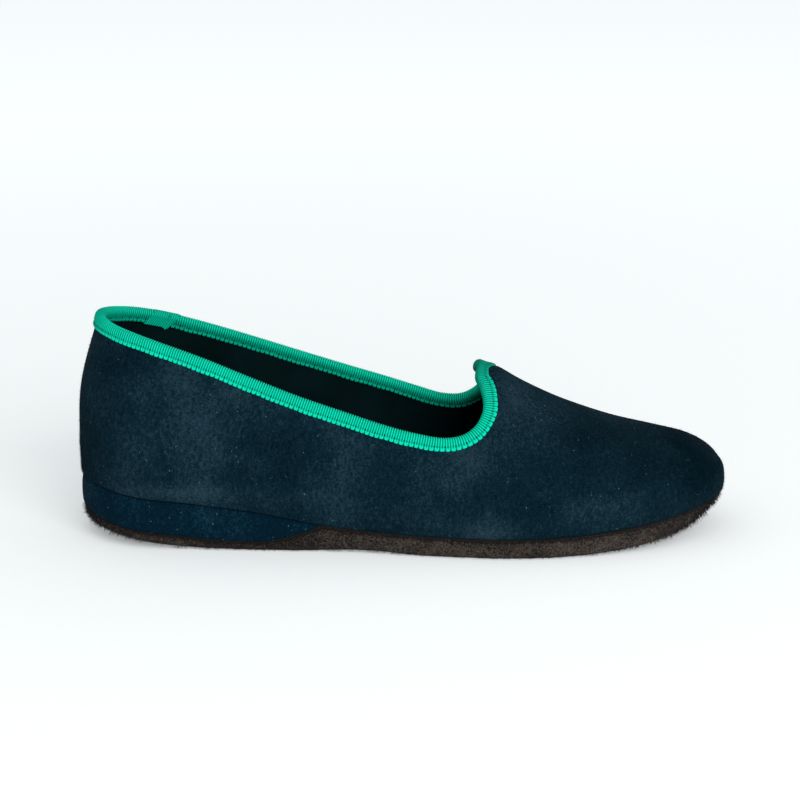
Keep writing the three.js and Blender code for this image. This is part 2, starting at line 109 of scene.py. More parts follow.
def table(columns, *rows):
    """A table of shares as smooth curves: table("at lift", ...)("lift", 0.5) gives lift at 0.5."""
    names = columns.split()
    values = np.array(rows, float)
    at = values[:, 0]
    fine = np.linspace(at[0], at[-1], 2001)
    low = np.clip(np.searchsorted(at, fine, side="right") - 1, 0, len(at) - 2)
    span = at[low + 1] - at[low]
    u = (fine - at[low]) / span
    curves = {}
    for name, y in zip(names[1:], values[:, 1:].T):
        before = np.clip(np.arange(len(at)) - 1, 0, None)
        after = np.clip(np.arange(len(at)) + 1, None, len(at) - 1)
        slope = (y[after] - y[before]) / (at[after] - at[before])
        curves[name] = (
            (2 * u**3 - 3 * u**2 + 1) * y[low]
            + (u**3 - 2 * u**2 + u) * span * slope[low]
            + (3 * u**2 - 2 * u**3) * y[low + 1]
            + (u**3 - u**2) * span * slope[low + 1]
        )
    return lambda column, share: np.interp(share, fine, curves[column])


# Plan of the upper's widest level. girth goes from the heel width to the ball width. outer and inner
# are the shares of that local width on the little-toe side and the big-toe side of the centre line,
# which swings to the big-toe side by the swing share.
PLAN = table(
    "at girth outer inner swing",
    (0.0, 0.0, 0.475, 0.475, 0.0),
    (0.1, 0.0, 0.49, 0.485, 0.0),
    (0.2, 0.02, 0.505, 0.49, 0.0),
    (0.32, 0.14, 0.5, 0.465, 0.0),
    (0.42, 0.42, 0.47, 0.425, 0.0),
    (0.52, 0.76, 0.472, 0.43, 0.0),
    (0.6, 1.0, 0.473, 0.45, 0.0),
    (0.66, 1.0, 0.487, 0.49, 0.0),
    (0.72, 1.0, 0.48, 0.51, 0.004),
    (0.8, 1.0, 0.449, 0.488, 0.014),
    (0.88, 1.0, 0.4, 0.445, 0.031),
    (0.94, 1.0, 0.37, 0.42, 0.045),
    (1.0, 1.0, 0.35, 0.4, 0.055),
)

# Heights along the last. rise is the share of the wedge's rise under the seam, lift and tip the
# shares of the toe spring at the seam and at the tread, arch the share of the waist's lift, lip the
# share of the sole's lip, and bulge how far above the seam the widest level lies, as a share of the
# heel width.
LEVELS = table(
    "at rise lift tip arch lip bulge",
    (0.0, 1.0, 0.0, 1.4, 0.0, -1.5, 0.26),
    (0.03, 0.93, 0.0, 1.04, 0.0, -1.0, 0.27),
    (0.06, 0.85, 0.0, 0.78, 0.0, -0.6, 0.28),
    (0.1, 0.77, 0.0, 0.45, 0.0, -0.4, 0.28),
    (0.16, 0.69, 0.0, 0.16, 0.0, -0.2, 0.27),
    (0.265, 0.5, 0.0, 0.0, 0.0, 0.1, 0.24),
    (0.33, 0.32, 0.0, 0.0, 0.0, 0.4, 0.22),
    (0.37, 0.2, 0.0, 0.0, 0.25, 0.6, 0.21),
    (0.42, 0.105, 0.0, 0.0, 0.9, 0.9, 0.2),
    (0.46, 0.065, 0.0, 0.0, 1.0, 1.0, 0.2),
    (0.53, 0.02, 0.0, 0.0, 0.0, 1.0, 0.19),
    (0.65, 0.0, 0.0, 0.0, 0.0, 1.0, 0.18),
    (0.73, 0.0, 0.04, 0.0, 0.0, 1.0, 0.17),
    (0.8, 0.0, 0.21, 0.12, 0.0, 0.95, 0.16),
    (0.88, 0.0, 0.51, 0.46, 0.0, 0.85, 0.14),
    (0.94, 0.0, 0.84, 1.1, 0.0, 0.4, 0.115),
    (1.0, 0.0, 1.26, 2.4, 0.0, -0.6, 0.1),
)

# The top of the last as a share of the peak's height, and how square its section is: 1 is a plain
# roof, 2 an ellipse. Behind the peak it is only the curve that the collar's walls lean towards.
RIDGE = table(
    "at top square",
    (0.0, 1.9, 1.85),
    (0.1, 1.82, 1.78),
    (0.2, 1.7, 2.12),
    (0.3, 1.56, 2.5),
    (0.4, 1.4, 2.5),
    (0.5, 1.19, 2.1),
    (0.57, 1.065, 1.68),
    (0.6202, 1.0, 1.52),
    (0.648, 0.98, 1.55),
    (0.672, 0.922, 1.58),
    (0.7, 0.862, 1.65),
    (0.75, 0.768, 1.78),
    (0.8, 0.688, 1.92),
    (0.85, 0.624, 2.05),
    (0.9, 0.587, 2.15),
    (0.95, 0.565, 2.2),
    (1.0, 0.545, 2.2),
)

# Back of the heel, seen from the side: height as a share of the back height, and how far forward
# the wall stands there, as a share of the heel width.
BACK = table(
    "at forward",
    (0.0, 0.018),
    (0.1, 0.016),
    (0.2, 0.01),
    (0.3, 0.003),
    (0.4, 0.0),
    (0.5, 0.0),
    (0.6, 0.005),
    (0.7, 0.022),
    (0.8, 0.055),
    (0.9, 0.098),
    (1.0, 0.142),
    (1.2, 0.23),
    (1.5, 0.36),
)

# Edge of the collar, seen from the side: a share of the length, how far the edge has dropped from
# the back height to the throat height, and the share of the outer side's dip.
COLLAR_SIDE = (
    (0.055, 0.034, 0.0),
    (0.089, 0.082, 0.0),
    (0.135, 0.158, 0.0),
    (0.2, 0.276, 0.15),
    (0.27, 0.412, 0.5),
    (0.34, 0.548, 0.85),
    (0.41, 0.68, 1.0),
    (0.47, 0.797, 0.95),
    (0.52, 0.9, 0.6),
    (0.565, 0.98, 0.2),
)

# Edge of the collar on the vamp: a share of the length, how far the edge has climbed from the
# throat height to the peak's height, and how much further along the inner side's edge runs.
COLLAR_VAMP = (
    (0.595, 0.05, 0.0),
    (0.616, 0.2, 0.0),
    (0.6265, 0.4, 0.0),
    (0.6275, 0.57, 0.0),
    (0.6232, 0.74, -0.002),
    (0.6168, 0.88, -0.0015),
)

# Places where the suede is lighter or darker: a share of the length, a share of the peak's height, the
# patch's reach along and up as shares of the length, and how much lighter it is.
# Most are nap brushed lighter or darker; the painted highlight and painted shade among them are marked.
NAP_AND_LIGHT_PATCHES = (
    (0.17, 0.83, 0.065, 0.05, 0.35),
    (0.26, 0.95, 0.04, 0.03, 0.3),
    (0.1, 0.56, 0.05, 0.05, 0.15),
    (0.175, 0.35, 0.085, 0.014, 0.8),
    (0.0, 0.5, 0.05, 0.12, -0.7),
    (0.1, 1.1, 0.05, 0.03, -0.5),
    (0.33, 0.55, 0.05, 0.05, -0.3),
    (0.42, 0.5, 0.06, 0.05, 0.2),
    (0.5, 0.42, 0.04, 0.04, -0.25),
    (0.625, 0.17, 0.028, 0.02, 0.95),
    # Painted highlight: a lighter streak down from the foot of the peak, where the vamp's flank catches
    # the light
    (0.62, 0.6, 0.04, 0.035, 0.5),
    (0.67, 0.86, 0.035, 0.025, 0.6),
    (0.71, 0.72, 0.04, 0.03, 0.35),
    (0.69, 0.4, 0.06, 0.04, -0.35),
    (0.78, 0.58, 0.07, 0.05, -0.5),
    (0.815, 0.3, 0.05, 0.02, 0.65),
    (0.73, 0.3, 0.04, 0.03, 0.2),
    (0.87, 0.3, 0.03, 0.03, 0.2),
    # Painted shade: the toe is painted darker
    (0.97, 0.5, 0.075, 0.09, -1.2),
)

# Soft troughs that wear has left in the suede: the two ends as shares of the length and of the
# peak's height, the width in millimetres and the depth in millimetres.
CREASES = (
    (0.64, 0.5, 0.69, 0.2, 7.0, 0.5),
    (0.7, 0.62, 0.735, 0.25, 6.0, 0.4),
    (0.4, 0.62, 0.45, 0.2, 9.0, 0.6),
    (0.11, 1.05, 0.14, 0.5, 8.0, 0.45),
    (0.28, 0.9, 0.25, 0.4, 10.0, 0.4),
    (0.53, 0.55, 0.57, 0.2, 8.0, 0.4),
)


def linear(code):
    """An sRGB hex colour as linear values."""
    shares = [int(code[i : i + 2], 16) / 255 for i in (1, 3, 5)]
    return [c / 12.92 if c <= 0.04045 else ((c + 0.055) / 1.055) ** 2.4 for c in shares]


def size(name, description, millimetres):
    """A length of the panel, given in millimetres."""
    return bpy.props.FloatProperty(
        name=name, description=description, default=millimetres * MM, unit="LENGTH"
    )


def colour(name, description, code):
    """A colour of the panel, given as sRGB hex."""
    return bpy.props.FloatVectorProperty(
        name=name, description=description, default=linear(code), size=3, min=0, max=1, subtype="COLOR"
    )


class SlipperSizes(bpy.types.PropertyGroup):
    """The slipper's own sizes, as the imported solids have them."""

    length: size("Length", "Back of the heel to the tip of the toe", 258)
    ball_width: size("Ball width", "Across the upper's widest level at the ball", 87)
    heel_width: size("Heel width", "Across the upper's widest level at the heel", 61)
    back_height: size("Back height", "Floor to the wall's edge at the back of the heel", 89)
    peak_height: size("Peak height", "Floor to the wall's edge at the tip of the vamp", 68.8)
    throat_height: size("Throat height", "Floor to the wall's edge at the collar's low point", 46)
    outer_dip: size("Outer dip", "How much lower the collar runs on the outer side", 3.4)
    wall: size("Wall", "Suede and lining together", 1.8)
    binding_width: size("Binding width", "Fold to lower edge of the ribbon", 5.3)
    ribbon: size("Ribbon", "Thickness of the ribbon", 0.8)
    rib: size("Rib", "From one rib of the ribbon to the next", 0.96)
    stitch: size("Stitch", "From one stitch of the ribbon to the next", 3.85)
    sole_edge: size("Sole edge", "Thickness of the sole's edge at the ball", 7.6)
    tread: size("Tread", "Thickness of the sole under the wedge", 3.7)
    wedge_rise: size("Wedge rise", "How far the wedge lifts the back of the upper", 17)
    wedge_reach: size("Wedge reach", "Back of the heel to the wedge's front point", 96)
    toe_spring: size("Toe spring", "How far the seam lifts at the tip of the toe", 6)
    arch_lift: size("Arch lift", "How far the waist of the tread clears the floor", 0.9)
    sole_lip: size("Sole lip", "How far the sole stands out past the seam at the ball", 1.2)
    sole_round: size("Sole round", "How far the tread's edge rolls under", 2)
    insole: size("Insole", "Thickness of the padded insole", 3)
    gap: size("Gap", "Clearance between pieces that meet", 0.3)


class SlipperColours(bpy.types.PropertyGroup):
    """The slipper's colours."""

    suede_dark: colour("Suede, dark", "Nap brushed away from the eye", "#02121A")
    suede: colour("Suede", "Nap at rest", "#0B222C")
    suede_light: colour("Suede, light", "Nap brushed towards the eye", "#263B46")
    wedge_dark: colour("Wedge, dark", "Suede of the wedge where it is pressed", "#031722")
    wedge: colour("Wedge", "Suede of the wedge", "#041C29")
    wedge_light: colour("Wedge, light", "Suede of the wedge where it is rubbed", "#173749")
    ribbon: colour("Ribbon", "Green of the grosgrain ribbon", "#00D9B3")
    # The ribbon's green as painted shade, for the hollows between the ribs
    ribbon_in_painted_shade: colour("Ribbon, deep", "Green between the ribs", "#007259")
    thread: colour("Thread", "Green of the stitches", "#02A886")
    sole_dark: colour("Sole, dark", "Brown between the sole's fibres", "#15100D")
    sole: colour("Sole", "Brown of the sole's fibres", "#594E46")
    lining: colour("Lining", "Near-black of the lining", "#001113")
    insole: colour("Insole", "Dark leather over the insole", "#142C33")
    lint: colour("Lint", "Pale specks caught in the nap", "#6E8B94")
    floor: colour("Floor", "Pale floor", "#FBFCFC")


def section(angle, square):
    """A superellipse's reach sideways and up, as the angle runs from its side to its top."""
    c = np.maximum(0, np.cos(angle))
    s = np.maximum(0, np.sin(angle))
    reach = (c**square + s**square) ** (-1 / square)
    return c * reach, s * reach


def unit(vectors):
    """The same directions at length 1."""
    return vectors / np.linalg.norm(vectors, axis=-1, keepdims=True)


def dots(a, b):
    """Dot products, row by row."""
    return np.sum(a * b, axis=-1)


def bell(distance, reach):
    """1 at no distance, falling softly to nothing past the reach."""
    return np.exp(-((distance / reach) ** 2))


def spline(points, samples):
    """Points on a centripetal Catmull-Rom curve, denser towards its two ends."""
    p = np.array(points, float)
    p = np.vstack([2 * p[0] - p[1], p, 2 * p[-1] - p[-2]])
    spans = len(p) - 3
    t = (1 - np.cos(np.linspace(0, math.pi, samples + 1))) / 2 * spans
    i = np.minimum(t.astype(int), spans - 1)
    u = (t - i)[:, None]
    p0, p1, p2, p3 = (p[i + k] for k in range(4))
    d0, d1, d2 = (
        np.sqrt(np.linalg.norm(b - a, axis=1))[:, None] for a, b in ((p0, p1), (p1, p2), (p2, p3))
    )
    m1 = ((p1 - p0) / d0 - (p2 - p0) / (d0 + d1) + (p2 - p1) / d1) * d1
    m2 = ((p2 - p1) / d1 - (p3 - p1) / (d1 + d2) + (p3 - p2) / d2) * d1
    return (
        (2 * u**3 - 3 * u**2 + 1) * p1
        + (u**3 - 2 * u**2 + u) * m1
        + (3 * u**2 - 2 * u**3) * p2
        + (u**3 - u**2) * m2
    )


def evenly(points, count):
    """Fractional places in a row of points that divide its length into equal steps."""
    steps = np.linalg.norm(np.diff(points, axis=0), axis=1)
    run = np.concatenate([[0], np.cumsum(steps)])
    return np.interp(np.linspace(0, run[-1], count), run, np.arange(len(points)))


class Last:
    """The form that every piece of the slipper is built on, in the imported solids' frame.

    A place on it is around, which runs from the heel (0) along the outer side to the toe (pi) and is
    negative on the inner side, and tilt, which runs from the seam (-TUCK_ANGLE) past the widest level
    (0) to the ridge (a quarter turn).
    """

    def __init__(self, sizes):
        self.s = sizes
        self.origin = np.zeros(3)
        turns = np.linspace(-math.pi, math.pi, 721)[:, None]
        tilts = np.linspace(-TUCK_ANGLE, QUARTER, 91)[None, :]
        shell = self.point(turns, tilts).reshape(-1, 3)
        low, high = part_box("upper")
        for axis in (0, 1):
            middle = (shell[:, axis].min() + shell[:, axis].max()) / 2
            self.origin[axis] = (low[axis] + high[axis]) / 2 - middle

    def level(self, column, x):
        return LEVELS(column, x / self.s.length)

    def seam_height(self, x):
        s = self.s
        return s.sole_edge + s.wedge_rise * self.level("rise", x) + s.toe_spring * self.level("lift", x)

    def wide_height(self, x):
        return self.seam_height(x) + self.s.heel_width * self.level("bulge", x)

    def ridge_height(self, x):
        return self.s.peak_height * RIDGE("top", x / self.s.length)

    def back_line(self, z):
        return self.s.heel_width * BACK("forward", z / self.s.back_height)

    def tread_height(self, x):
        s = self.s
        return np.maximum(0, s.toe_spring * self.level("tip", x) + s.arch_lift * self.level("arch", x))

    def wedge_underside(self, x):
        s = self.s
        start = SWEEP_START * s.wedge_reach
        swept = np.clip((x - start) / (s.wedge_reach - start), 0, 1)
        heel = HEEL_SWELL * bell(x - 36 * MM, 14 * MM)
        flat = s.tread + heel + self.tread_height(x)
        point = self.seam_height(s.wedge_reach) - s.gap - WEDGE_POINT
        return flat + (point - flat) * swept**1.5

    def sole_top(self, x):
        under = np.where(x < self.s.wedge_reach, self.wedge_underside(x), self.seam_height(x))
        return under - self.s.gap

    def half_width(self, share, outer):
        s = self.s

        def cap(distance, reach):
            u = np.maximum(0, 1 - distance / reach)
            return np.sqrt(np.maximum(0, 1 - u * u))

        girth = s.heel_width + (s.ball_width - s.heel_width) * PLAN("girth", share)
        side = np.where(outer, PLAN("outer", share), PLAN("inner", share))
        return girth * side * cap(share, HEEL_CAP) * cap(1 - share, TOE_CAP)

    def tuck_share(self, tilt):
        return (1 - np.cos(tilt)) / (1 - math.cos(TUCK_ANGLE))

    def toe_line(self, tilt):
        length = self.s.length
        drop = length * (TOE_RIDGE + (1 - TOE_RIDGE) * section(tilt, TOE_FULLNESS)[0])
        return np.where(tilt < 0, length - TOE_TUCK * self.tuck_share(tilt), drop)

    def point(self, around, tilt):
        around, tilt = np.broadcast_arrays(np.asarray(around, float), np.asarray(tilt, float))
        over = tilt > QUARTER
        around = np.where(over, -around, around)
        tilt = np.where(over, math.pi - tilt, tilt)
        share = (1 - np.cos(around)) / 2
        outer = np.sin(around) >= 0
        below = np.sin(-tilt) / math.sin(TUCK_ANGLE)
        toe = self.toe_line(tilt)
        x = share * self.s.length
        for _ in range(6):
            across, up = section(tilt, RIDGE("square", x / self.s.length))
            wide = self.wide_height(x)
            lower = wide - (wide - self.seam_height(x)) * below
            upper = wide + (self.ridge_height(x) - wide) * up
            z = np.where(tilt < 0, lower, upper)
            back = self.back_line(z)
            x = back + (toe - back) * share
        across = np.where(tilt < 0, 1 - TUCK * self.tuck_share(tilt), across)
        out = np.where(outer, -1, 1) * self.half_width(share, outer) * across
        y = self.s.ball_width * PLAN("swing", share) + out
        return np.stack([x, y, z], axis=-1) + self.origin

    def normal(self, around, tilt):
        around, tilt = np.broadcast_arrays(np.asarray(around, float), np.asarray(tilt, float))
        step = 0.012
        ridge = np.abs(tilt - QUARTER) < 1e-9
        beside = np.where(ridge, QUARTER - 2 * step, tilt)

        def facing(a, t):
            along = self.point(a + step, t) - self.point(a - step, t)
            up = self.point(a, t + step) - self.point(a, t - step)
            return unit(np.cross(along, up))

        here = facing(around, beside)
        return np.where(ridge[..., None], unit(here + facing(-around, beside)), here)

    def find(self, x, z, outward):
        """around and tilt of the place with a given x and z on one side."""
        wide = self.wide_height(x)
        up = np.clip((z - wide) / (self.ridge_height(x) - wide), 0, 1)
        square = RIDGE("square", x / self.s.length)
        tilt = np.arctan2(up, (1 - up**square) ** (1 / square))
        back = self.back_line(z)
        share = np.clip((x - back) / (self.toe_line(tilt) - back), 0, 1)
        return -outward * np.arccos(1 - 2 * share), tilt

    def nearest(self, target, around, tilt):
        """around and tilt of the surface's point nearest to a target, from a guess."""
        step = 0.004
        for _ in range(5):
            here = self.point(around, tilt)
            a = (self.point(around + step, tilt) - here) / step
            b = (here - self.point(around, tilt - step)) / step
            miss = target - here
            aa, ab, bb = dots(a, a), dots(a, b), dots(b, b)
            am, bm = dots(a, miss), dots(b, miss)
            det = aa * bb - ab * ab
            around = around + (am * bb - bm * ab) / det
            tilt = tilt + (bm * aa - am * ab) / det
        return around, tilt

    def collar_half(self, outward, count):
        """around and tilt at even steps along one side of the collar's edge, heel to peak."""
        s = self.s
        fall = s.throat_height - s.back_height
        climb = s.peak_height - s.throat_height
        dip = s.outer_dip if outward < 0 else 0
        points = [(self.back_line(s.back_height), s.back_height)]
        points += [(a * s.length, s.back_height + fall * d - dip * p) for a, d, p in COLLAR_SIDE]
        inner = 1 if outward > 0 else 0
        vamp = [(a + inner * more, c) for a, c, more in COLLAR_VAMP]
        points += [(a * s.length, s.throat_height + climb * c) for a, c in vamp]
        points += [(PEAK_AT * s.length, float(self.ridge_height(PEAK_AT * s.length)))]
        x, z = spline(points, 800).T
        around, tilt = self.find(x, z, outward)
        place = evenly(self.point(around, tilt), count)
        index = np.arange(len(x))
        return np.interp(place, index, around), np.interp(place, index, tilt)

    def collar(self, count):
        """The whole edge at even steps: out along the outer side and back along the inner side."""
        outer = np.array(self.collar_half(-1, count // 2 + 1))
        inner = np.array(self.collar_half(1, count // 2 + 1))
        around, tilt = np.hstack([outer[:, :-1], inner[:, :0:-1]])
        point = self.point(around, tilt)
        out = self.normal(around, tilt)
        along = np.roll(point, -1, axis=0) - np.roll(point, 1, axis=0)
        down = unit(np.cross(along, out))
        return {
            "around": around,
            "tilt": tilt,
            "point": point,
            "out": out,
            "down": down,
            "along": unit(along),
        }

    def on_collar(self, edge, depth, height):
        """Points at a depth down the wall from the edge and a height out from the wall's outer face."""
        depth = np.broadcast_to(depth, edge["around"].shape)
        height = np.broadcast_to(height, edge["around"].shape)
        target = edge["point"] + edge["down"] * depth[:, None]
        around, tilt = self.nearest(target, edge["around"], edge["tilt"])
        face = self.point(around, tilt)
        out = self.normal(around, tilt)
        over = depth[:, None] <= 0
        return np.where(over, target + edge["out"] * height[:, None], face + out * height[:, None])

    def seam(self, around, margin):
        """The seam's outline in plan at some turns, moved outwards by a margin."""
        step = 0.012
        p = self.point(around, -TUCK_ANGLE)
        along = self.point(around + step, -TUCK_ANGLE) - self.point(around - step, -TUCK_ANGLE)
        out = unit(np.stack([along[:, 1], -along[:, 0]], axis=-1))
        p[:, :2] += out * np.broadcast_to(margin, around.shape)[:, None]
        return p

    def seam_turns(self, count, front=math.pi):
        """Turns at even steps along the seam from the heel to a front turn."""
        fine = np.linspace(0, front, 1500)
        place = evenly(self.point(fine, -TUCK_ANGLE), count)
        return np.interp(place, np.arange(1500), fine)


def grid(name, points, **values):
    """A sheet from rows and columns of points, merged where its edges meet. Each value becomes an
    attribute of the points, which a material can read."""
    rows, columns = points.shape[:2]
    bm = bmesh.new()
    layers = {key: bm.verts.layers.float.new(key) for key in values}
    bmesh.ops.create_grid(bm, x_segments=columns - 1, y_segments=rows - 1, size=1)
    for vert in bm.verts:
        column = round((vert.co.x + 1) / 2 * (columns - 1))
        row = round((vert.co.y + 1) / 2 * (rows - 1))
        vert.co = points[row, column]
        for key, layer in layers.items():
            vert[layer] = values[key][row, column]
    bmesh.ops.remove_doubles(bm, verts=bm.verts, dist=0.004 * MM)
    bmesh.ops.dissolve_degenerate(bm, edges=bm.edges, dist=0.002 * MM)
    bmesh.ops.recalc_face_normals(bm, faces=bm.faces)
    for face in bm.faces:
        face.smooth = True
    mesh = bpy.data.meshes.new(name)
    bm.to_mesh(mesh)
    bm.free()
    return add_piece(name, mesh)


def gather(name, operator, shapes):
    """One piece from many small shapes of one kind, each given as a material slot and its settings.
    They are made a few at a time, because an operator slows down as its mesh grows."""
    whole = bmesh.new()
    batch = bpy.data.meshes.new("batch")
    for start in range(0, len(shapes), 50):
        some = bmesh.new()
        for slot, settings in shapes[start : start + 50]:
            for vert in operator(some, **settings)["verts"]:
                for face in vert.link_faces:
                    face.material_index = slot
                    face.smooth = True
        some.to_mesh(batch)
        some.free()
        whole.from_mesh(batch)
    bpy.data.meshes.remove(batch)
    mesh = bpy.data.meshes.new(name)
    whole.to_mesh(mesh)
    whole.free()
    return add_piece(name, mesh)


def add_piece(name, mesh):
    """Puts a mesh in the scene as an object at the origin."""
    piece = bpy.data.objects.new(name, mesh)
    bpy.context.scene.collection.objects.link(piece)
    return piece


def finish_piece(piece, materials, replaced=()):
    """Gives a piece its materials and its place on the slipper's one body."""
    for material in materials:
        piece.data.materials.append(material)
    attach(piece, "root")
    if replaced:
        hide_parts(*replaced)


def rough(points, scale, amount, seed=0.0):
    """Smooth noise at each point, for a feature of the given size."""
    shift = Vector((seed, 2 * seed, 3 * seed))
    values = [noise.noise(Vector(p) / scale + shift) for p in points.reshape(-1, 3)]
    return np.array(values).reshape(points.shape[:-1]) * amount


def add(tree, kind, inputs=None, stops=(), **settings):
    """Adds a node with its settings. An input is a plain value or another node's output, and the
    stops of a colour ramp are places with their linear colours."""
    made = tree.nodes.new(kind)
    for name, value in settings.items():
        setattr(made, name, value)
    for socket, value in (inputs or {}).items():
        if isinstance(value, bpy.types.NodeSocket):
            tree.links.new(value, made.inputs[socket])
        else:
            made.inputs[socket].default_value = value
    elements = made.color_ramp.elements if stops else []
    while len(elements) < len(stops):
        elements.new(0.5)
    for element, (place, shade) in zip(elements, stops):
        element.position = place
        element.color = (*shade, 1)
    return made


def new_material(name, **surface):
    """A material with one shader, whose plain values are set on its own sockets."""
    material = bpy.data.materials.new(name)
    material.use_nodes = True
    tree = material.node_tree
    tree.nodes.clear()
    shader = add(tree, "ShaderNodeBsdfPrincipled", surface)
    add(tree, "ShaderNodeOutputMaterial", {"Surface": shader.outputs["BSDF"]})
    where = add(tree, "ShaderNodeTexCoord").outputs["Object"]
    return material, tree, shader, where


def dress(tree, shader, shade, height, strength, distance):
    """Gives a shader its colour, and fine relief from a height."""
    tree.links.new(shade, shader.inputs["Base Color"])
    relief = {"Height": height, "Strength": strength, "Distance": distance}
    bump = add(tree, "ShaderNodeBump", relief)
    tree.links.new(bump.outputs["Normal"], shader.inputs["Normal"])


def weigh(tree, start, *parts):
    """Adds up outputs, each times its weight, from a starting value."""
    amount = start
    for weight, output in parts:
        inputs = {0: output, 1: weight, 2: amount}
        amount = add(tree, "ShaderNodeMath", inputs, operation="MULTIPLY_ADD").outputs[0]
    return amount


def suede(name, dark, middle, light, lint, nap_and_light_weight):
    """Split suede, buffed to an open nap: it soaks up light and shows hardly any shine. Its short
    fibres lie every way, so the hand leaves soft lighter and darker strokes all over it."""
    surface = {"Roughness": 0.95, "Specular IOR Level": 0.01}
    sheen = {"Sheen Weight": 0.018, "Sheen Roughness": 0.5, "Sheen Tint": (0.5, 0.65, 0.75, 1)}
    material, tree, shader, where = new_material(name, **surface, **sheen)
    patches = add(tree, "ShaderNodeTexNoise", {"Vector": where, "Scale": 1 / (17 * MM), "Detail": 3.0})
    strokes = []
    for turn, length in ((20, 0.6), (-50, 0.65)):
        laid = {"Vector": where, "Rotation": (0, math.radians(turn), 0), "Scale": (1.15, 1, length)}
        way = add(tree, "ShaderNodeMapping", laid).outputs["Vector"]
        brushed = {"Vector": way, "Scale": 1 / (1.5 * MM), "Detail": 5.0, "Roughness": 0.62}
        strokes.append(add(tree, "ShaderNodeTexNoise", brushed).outputs["Fac"])
    nap = add(tree, "ShaderNodeTexNoise", {"Vector": where, "Scale": 1 / (0.75 * MM), "Detail": 3.0})
    # The patches read here are nap, with painted highlight and painted shade on the upper
    hand = add(tree, "ShaderNodeAttribute", attribute_name="brushed", attribute_type="GEOMETRY")
    amount = weigh(
        tree,
        -0.86,
        (0.6, patches.outputs["Fac"]),
        (0.6, strokes[0]),
        (0.6, strokes[1]),
        (0.92, nap.outputs["Fac"]),
        (nap_and_light_weight, hand.outputs["Fac"]),
    )
    stops = ((0.12, dark), (0.5, middle), (0.95, light))
    shade = add(tree, "ShaderNodeValToRGB", {"Fac": amount}, stops).outputs["Color"]
    specks = add(tree, "ShaderNodeTexVoronoi", {"Vector": where, "Scale": 1 / (2.4 * MM)})
    near = {0: specks.outputs["Distance"], 1: 0.065}
    caught = add(tree, "ShaderNodeMath", near, operation="LESS_THAN")
    some = add(tree, "ShaderNodeMath", {0: strokes[0], 1: 0.53}, operation="GREATER_THAN")
    kept = add(tree, "ShaderNodeMath", {0: caught.outputs[0], 1: some.outputs[0]}, operation="MULTIPLY")
    layers = {"Factor": kept.outputs[0], "A": shade, "B": (*lint, 1)}
    mixed = add(tree, "ShaderNodeMix", layers, data_type="RGBA")
    fuzz = add(tree, "ShaderNodeTexNoise", {"Vector": where, "Scale": 1 / (0.5 * MM), "Detail": 4.0})
    raised = weigh(tree, 0.0, (0.6, fuzz.outputs["Fac"]), (1.2, strokes[0]), (1.0, strokes[1]))
    dress(tree, shader, mixed.outputs["Result"], raised, 0.6, 0.5 * MM)
    return material


def grosgrain(colours):
    """Grosgrain, a ribbon of fine viscose warp over thick weft cords: satiny on top of each cord, with
    painted shade that deepens its green between two cords."""
    surface = {"Roughness": 0.6, "Specular IOR Level": 0.05}
    material, tree, shader, where = new_material("Viscose grosgrain", **surface)
    fine = {"Vector": where, "Scale": 1 / (0.45 * MM), "Detail": 4.0, "Roughness": 0.65}
    threads = add(tree, "ShaderNodeTexNoise", fine)
    wear = add(tree, "ShaderNodeTexNoise", {"Vector": where, "Scale": 1 / (9 * MM), "Detail": 2.0})
    # The cord attribute is painted shade: deeper green between the cords, in the looped edge's gaps, in
    # the sewn groove, at the peak, at the heel and on the inside leg
    cord = add(tree, "ShaderNodeAttribute", attribute_name="cord", attribute_type="GEOMETRY")
    amount = weigh(
        tree,
        -0.25,
        (0.25, threads.outputs["Fac"]),
        (0.25, wear.outputs["Fac"]),
        (1.0, cord.outputs["Fac"]),
    )
    stops = ((0.05, colours.ribbon_in_painted_shade), (0.75, colours.ribbon))
    shade = add(tree, "ShaderNodeValToRGB", {"Fac": amount}, stops).outputs["Color"]
    dress(tree, shader, shade, threads.outputs["Fac"], 0.3, 0.12 * MM)
    return material


def rough_suede(colours):
    """Rough-out sole suede: coarse matted brown fibres that catch the light as pale specks."""
    surface = {"Roughness": 1.0, "Specular IOR Level": 0.04}
    sheen = {"Sheen Weight": 0.08, "Sheen Roughness": 0.5}
    material, tree, shader, where = new_material("Rough brown suede", **surface, **sheen)
    coarse = {"Vector": where, "Scale": 1 / (0.75 * MM), "Detail": 5.0, "Roughness": 0.8}
    fibres = add(tree, "ShaderNodeTexNoise", coarse)
    patches = add(tree, "ShaderNodeTexNoise", {"Vector": where, "Scale": 1 / (8 * MM), "Detail": 3.0})
    # Painted shade at the join and near the floor, and darker at the waist, from the sole's attribute
    painted_sole_shade = add(tree, "ShaderNodeAttribute", attribute_name="painted_sole_shade", attribute_type="GEOMETRY")
    amount = weigh(
        tree,
        -0.16,
        (0.2, patches.outputs["Fac"]),
        (1.1, fibres.outputs["Fac"]),
        (-0.16, painted_sole_shade.outputs["Fac"]),
    )
    stops = ((0.42, colours.sole_dark), (0.56, colours.sole))
    shade = add(tree, "ShaderNodeValToRGB", {"Fac": amount}, stops).outputs["Color"]
    dress(tree, shader, shade, fibres.outputs["Fac"], 1.0, 1.2 * MM)
    return material


def lining_leather(name, dye):
    """Thin chrome-tanned lining leather, dyed nearly black: smooth from the foot, with a dull shine."""
    surface = {"Roughness": 0.75, "Specular IOR Level": 0.06}
    material, tree, shader, where = new_material(name, **surface)
    cells = {"Vector": where, "Scale": 1 / (0.9 * MM)}
    grain = add(tree, "ShaderNodeTexVoronoi", cells, feature="SMOOTH_F1")
    worn = add(tree, "ShaderNodeTexNoise", {"Vector": where, "Scale": 1 / (20 * MM), "Detail": 3.0})
    stops = ((0.35, dye), (0.75, [c * 2 + 0.001 for c in dye]))
    shade = add(tree, "ShaderNodeValToRGB", {"Fac": worn.outputs["Fac"]}, stops).outputs["Color"]
    dress(tree, shader, shade, grain.outputs["Distance"], 0.3, 0.15 * MM)
    return material


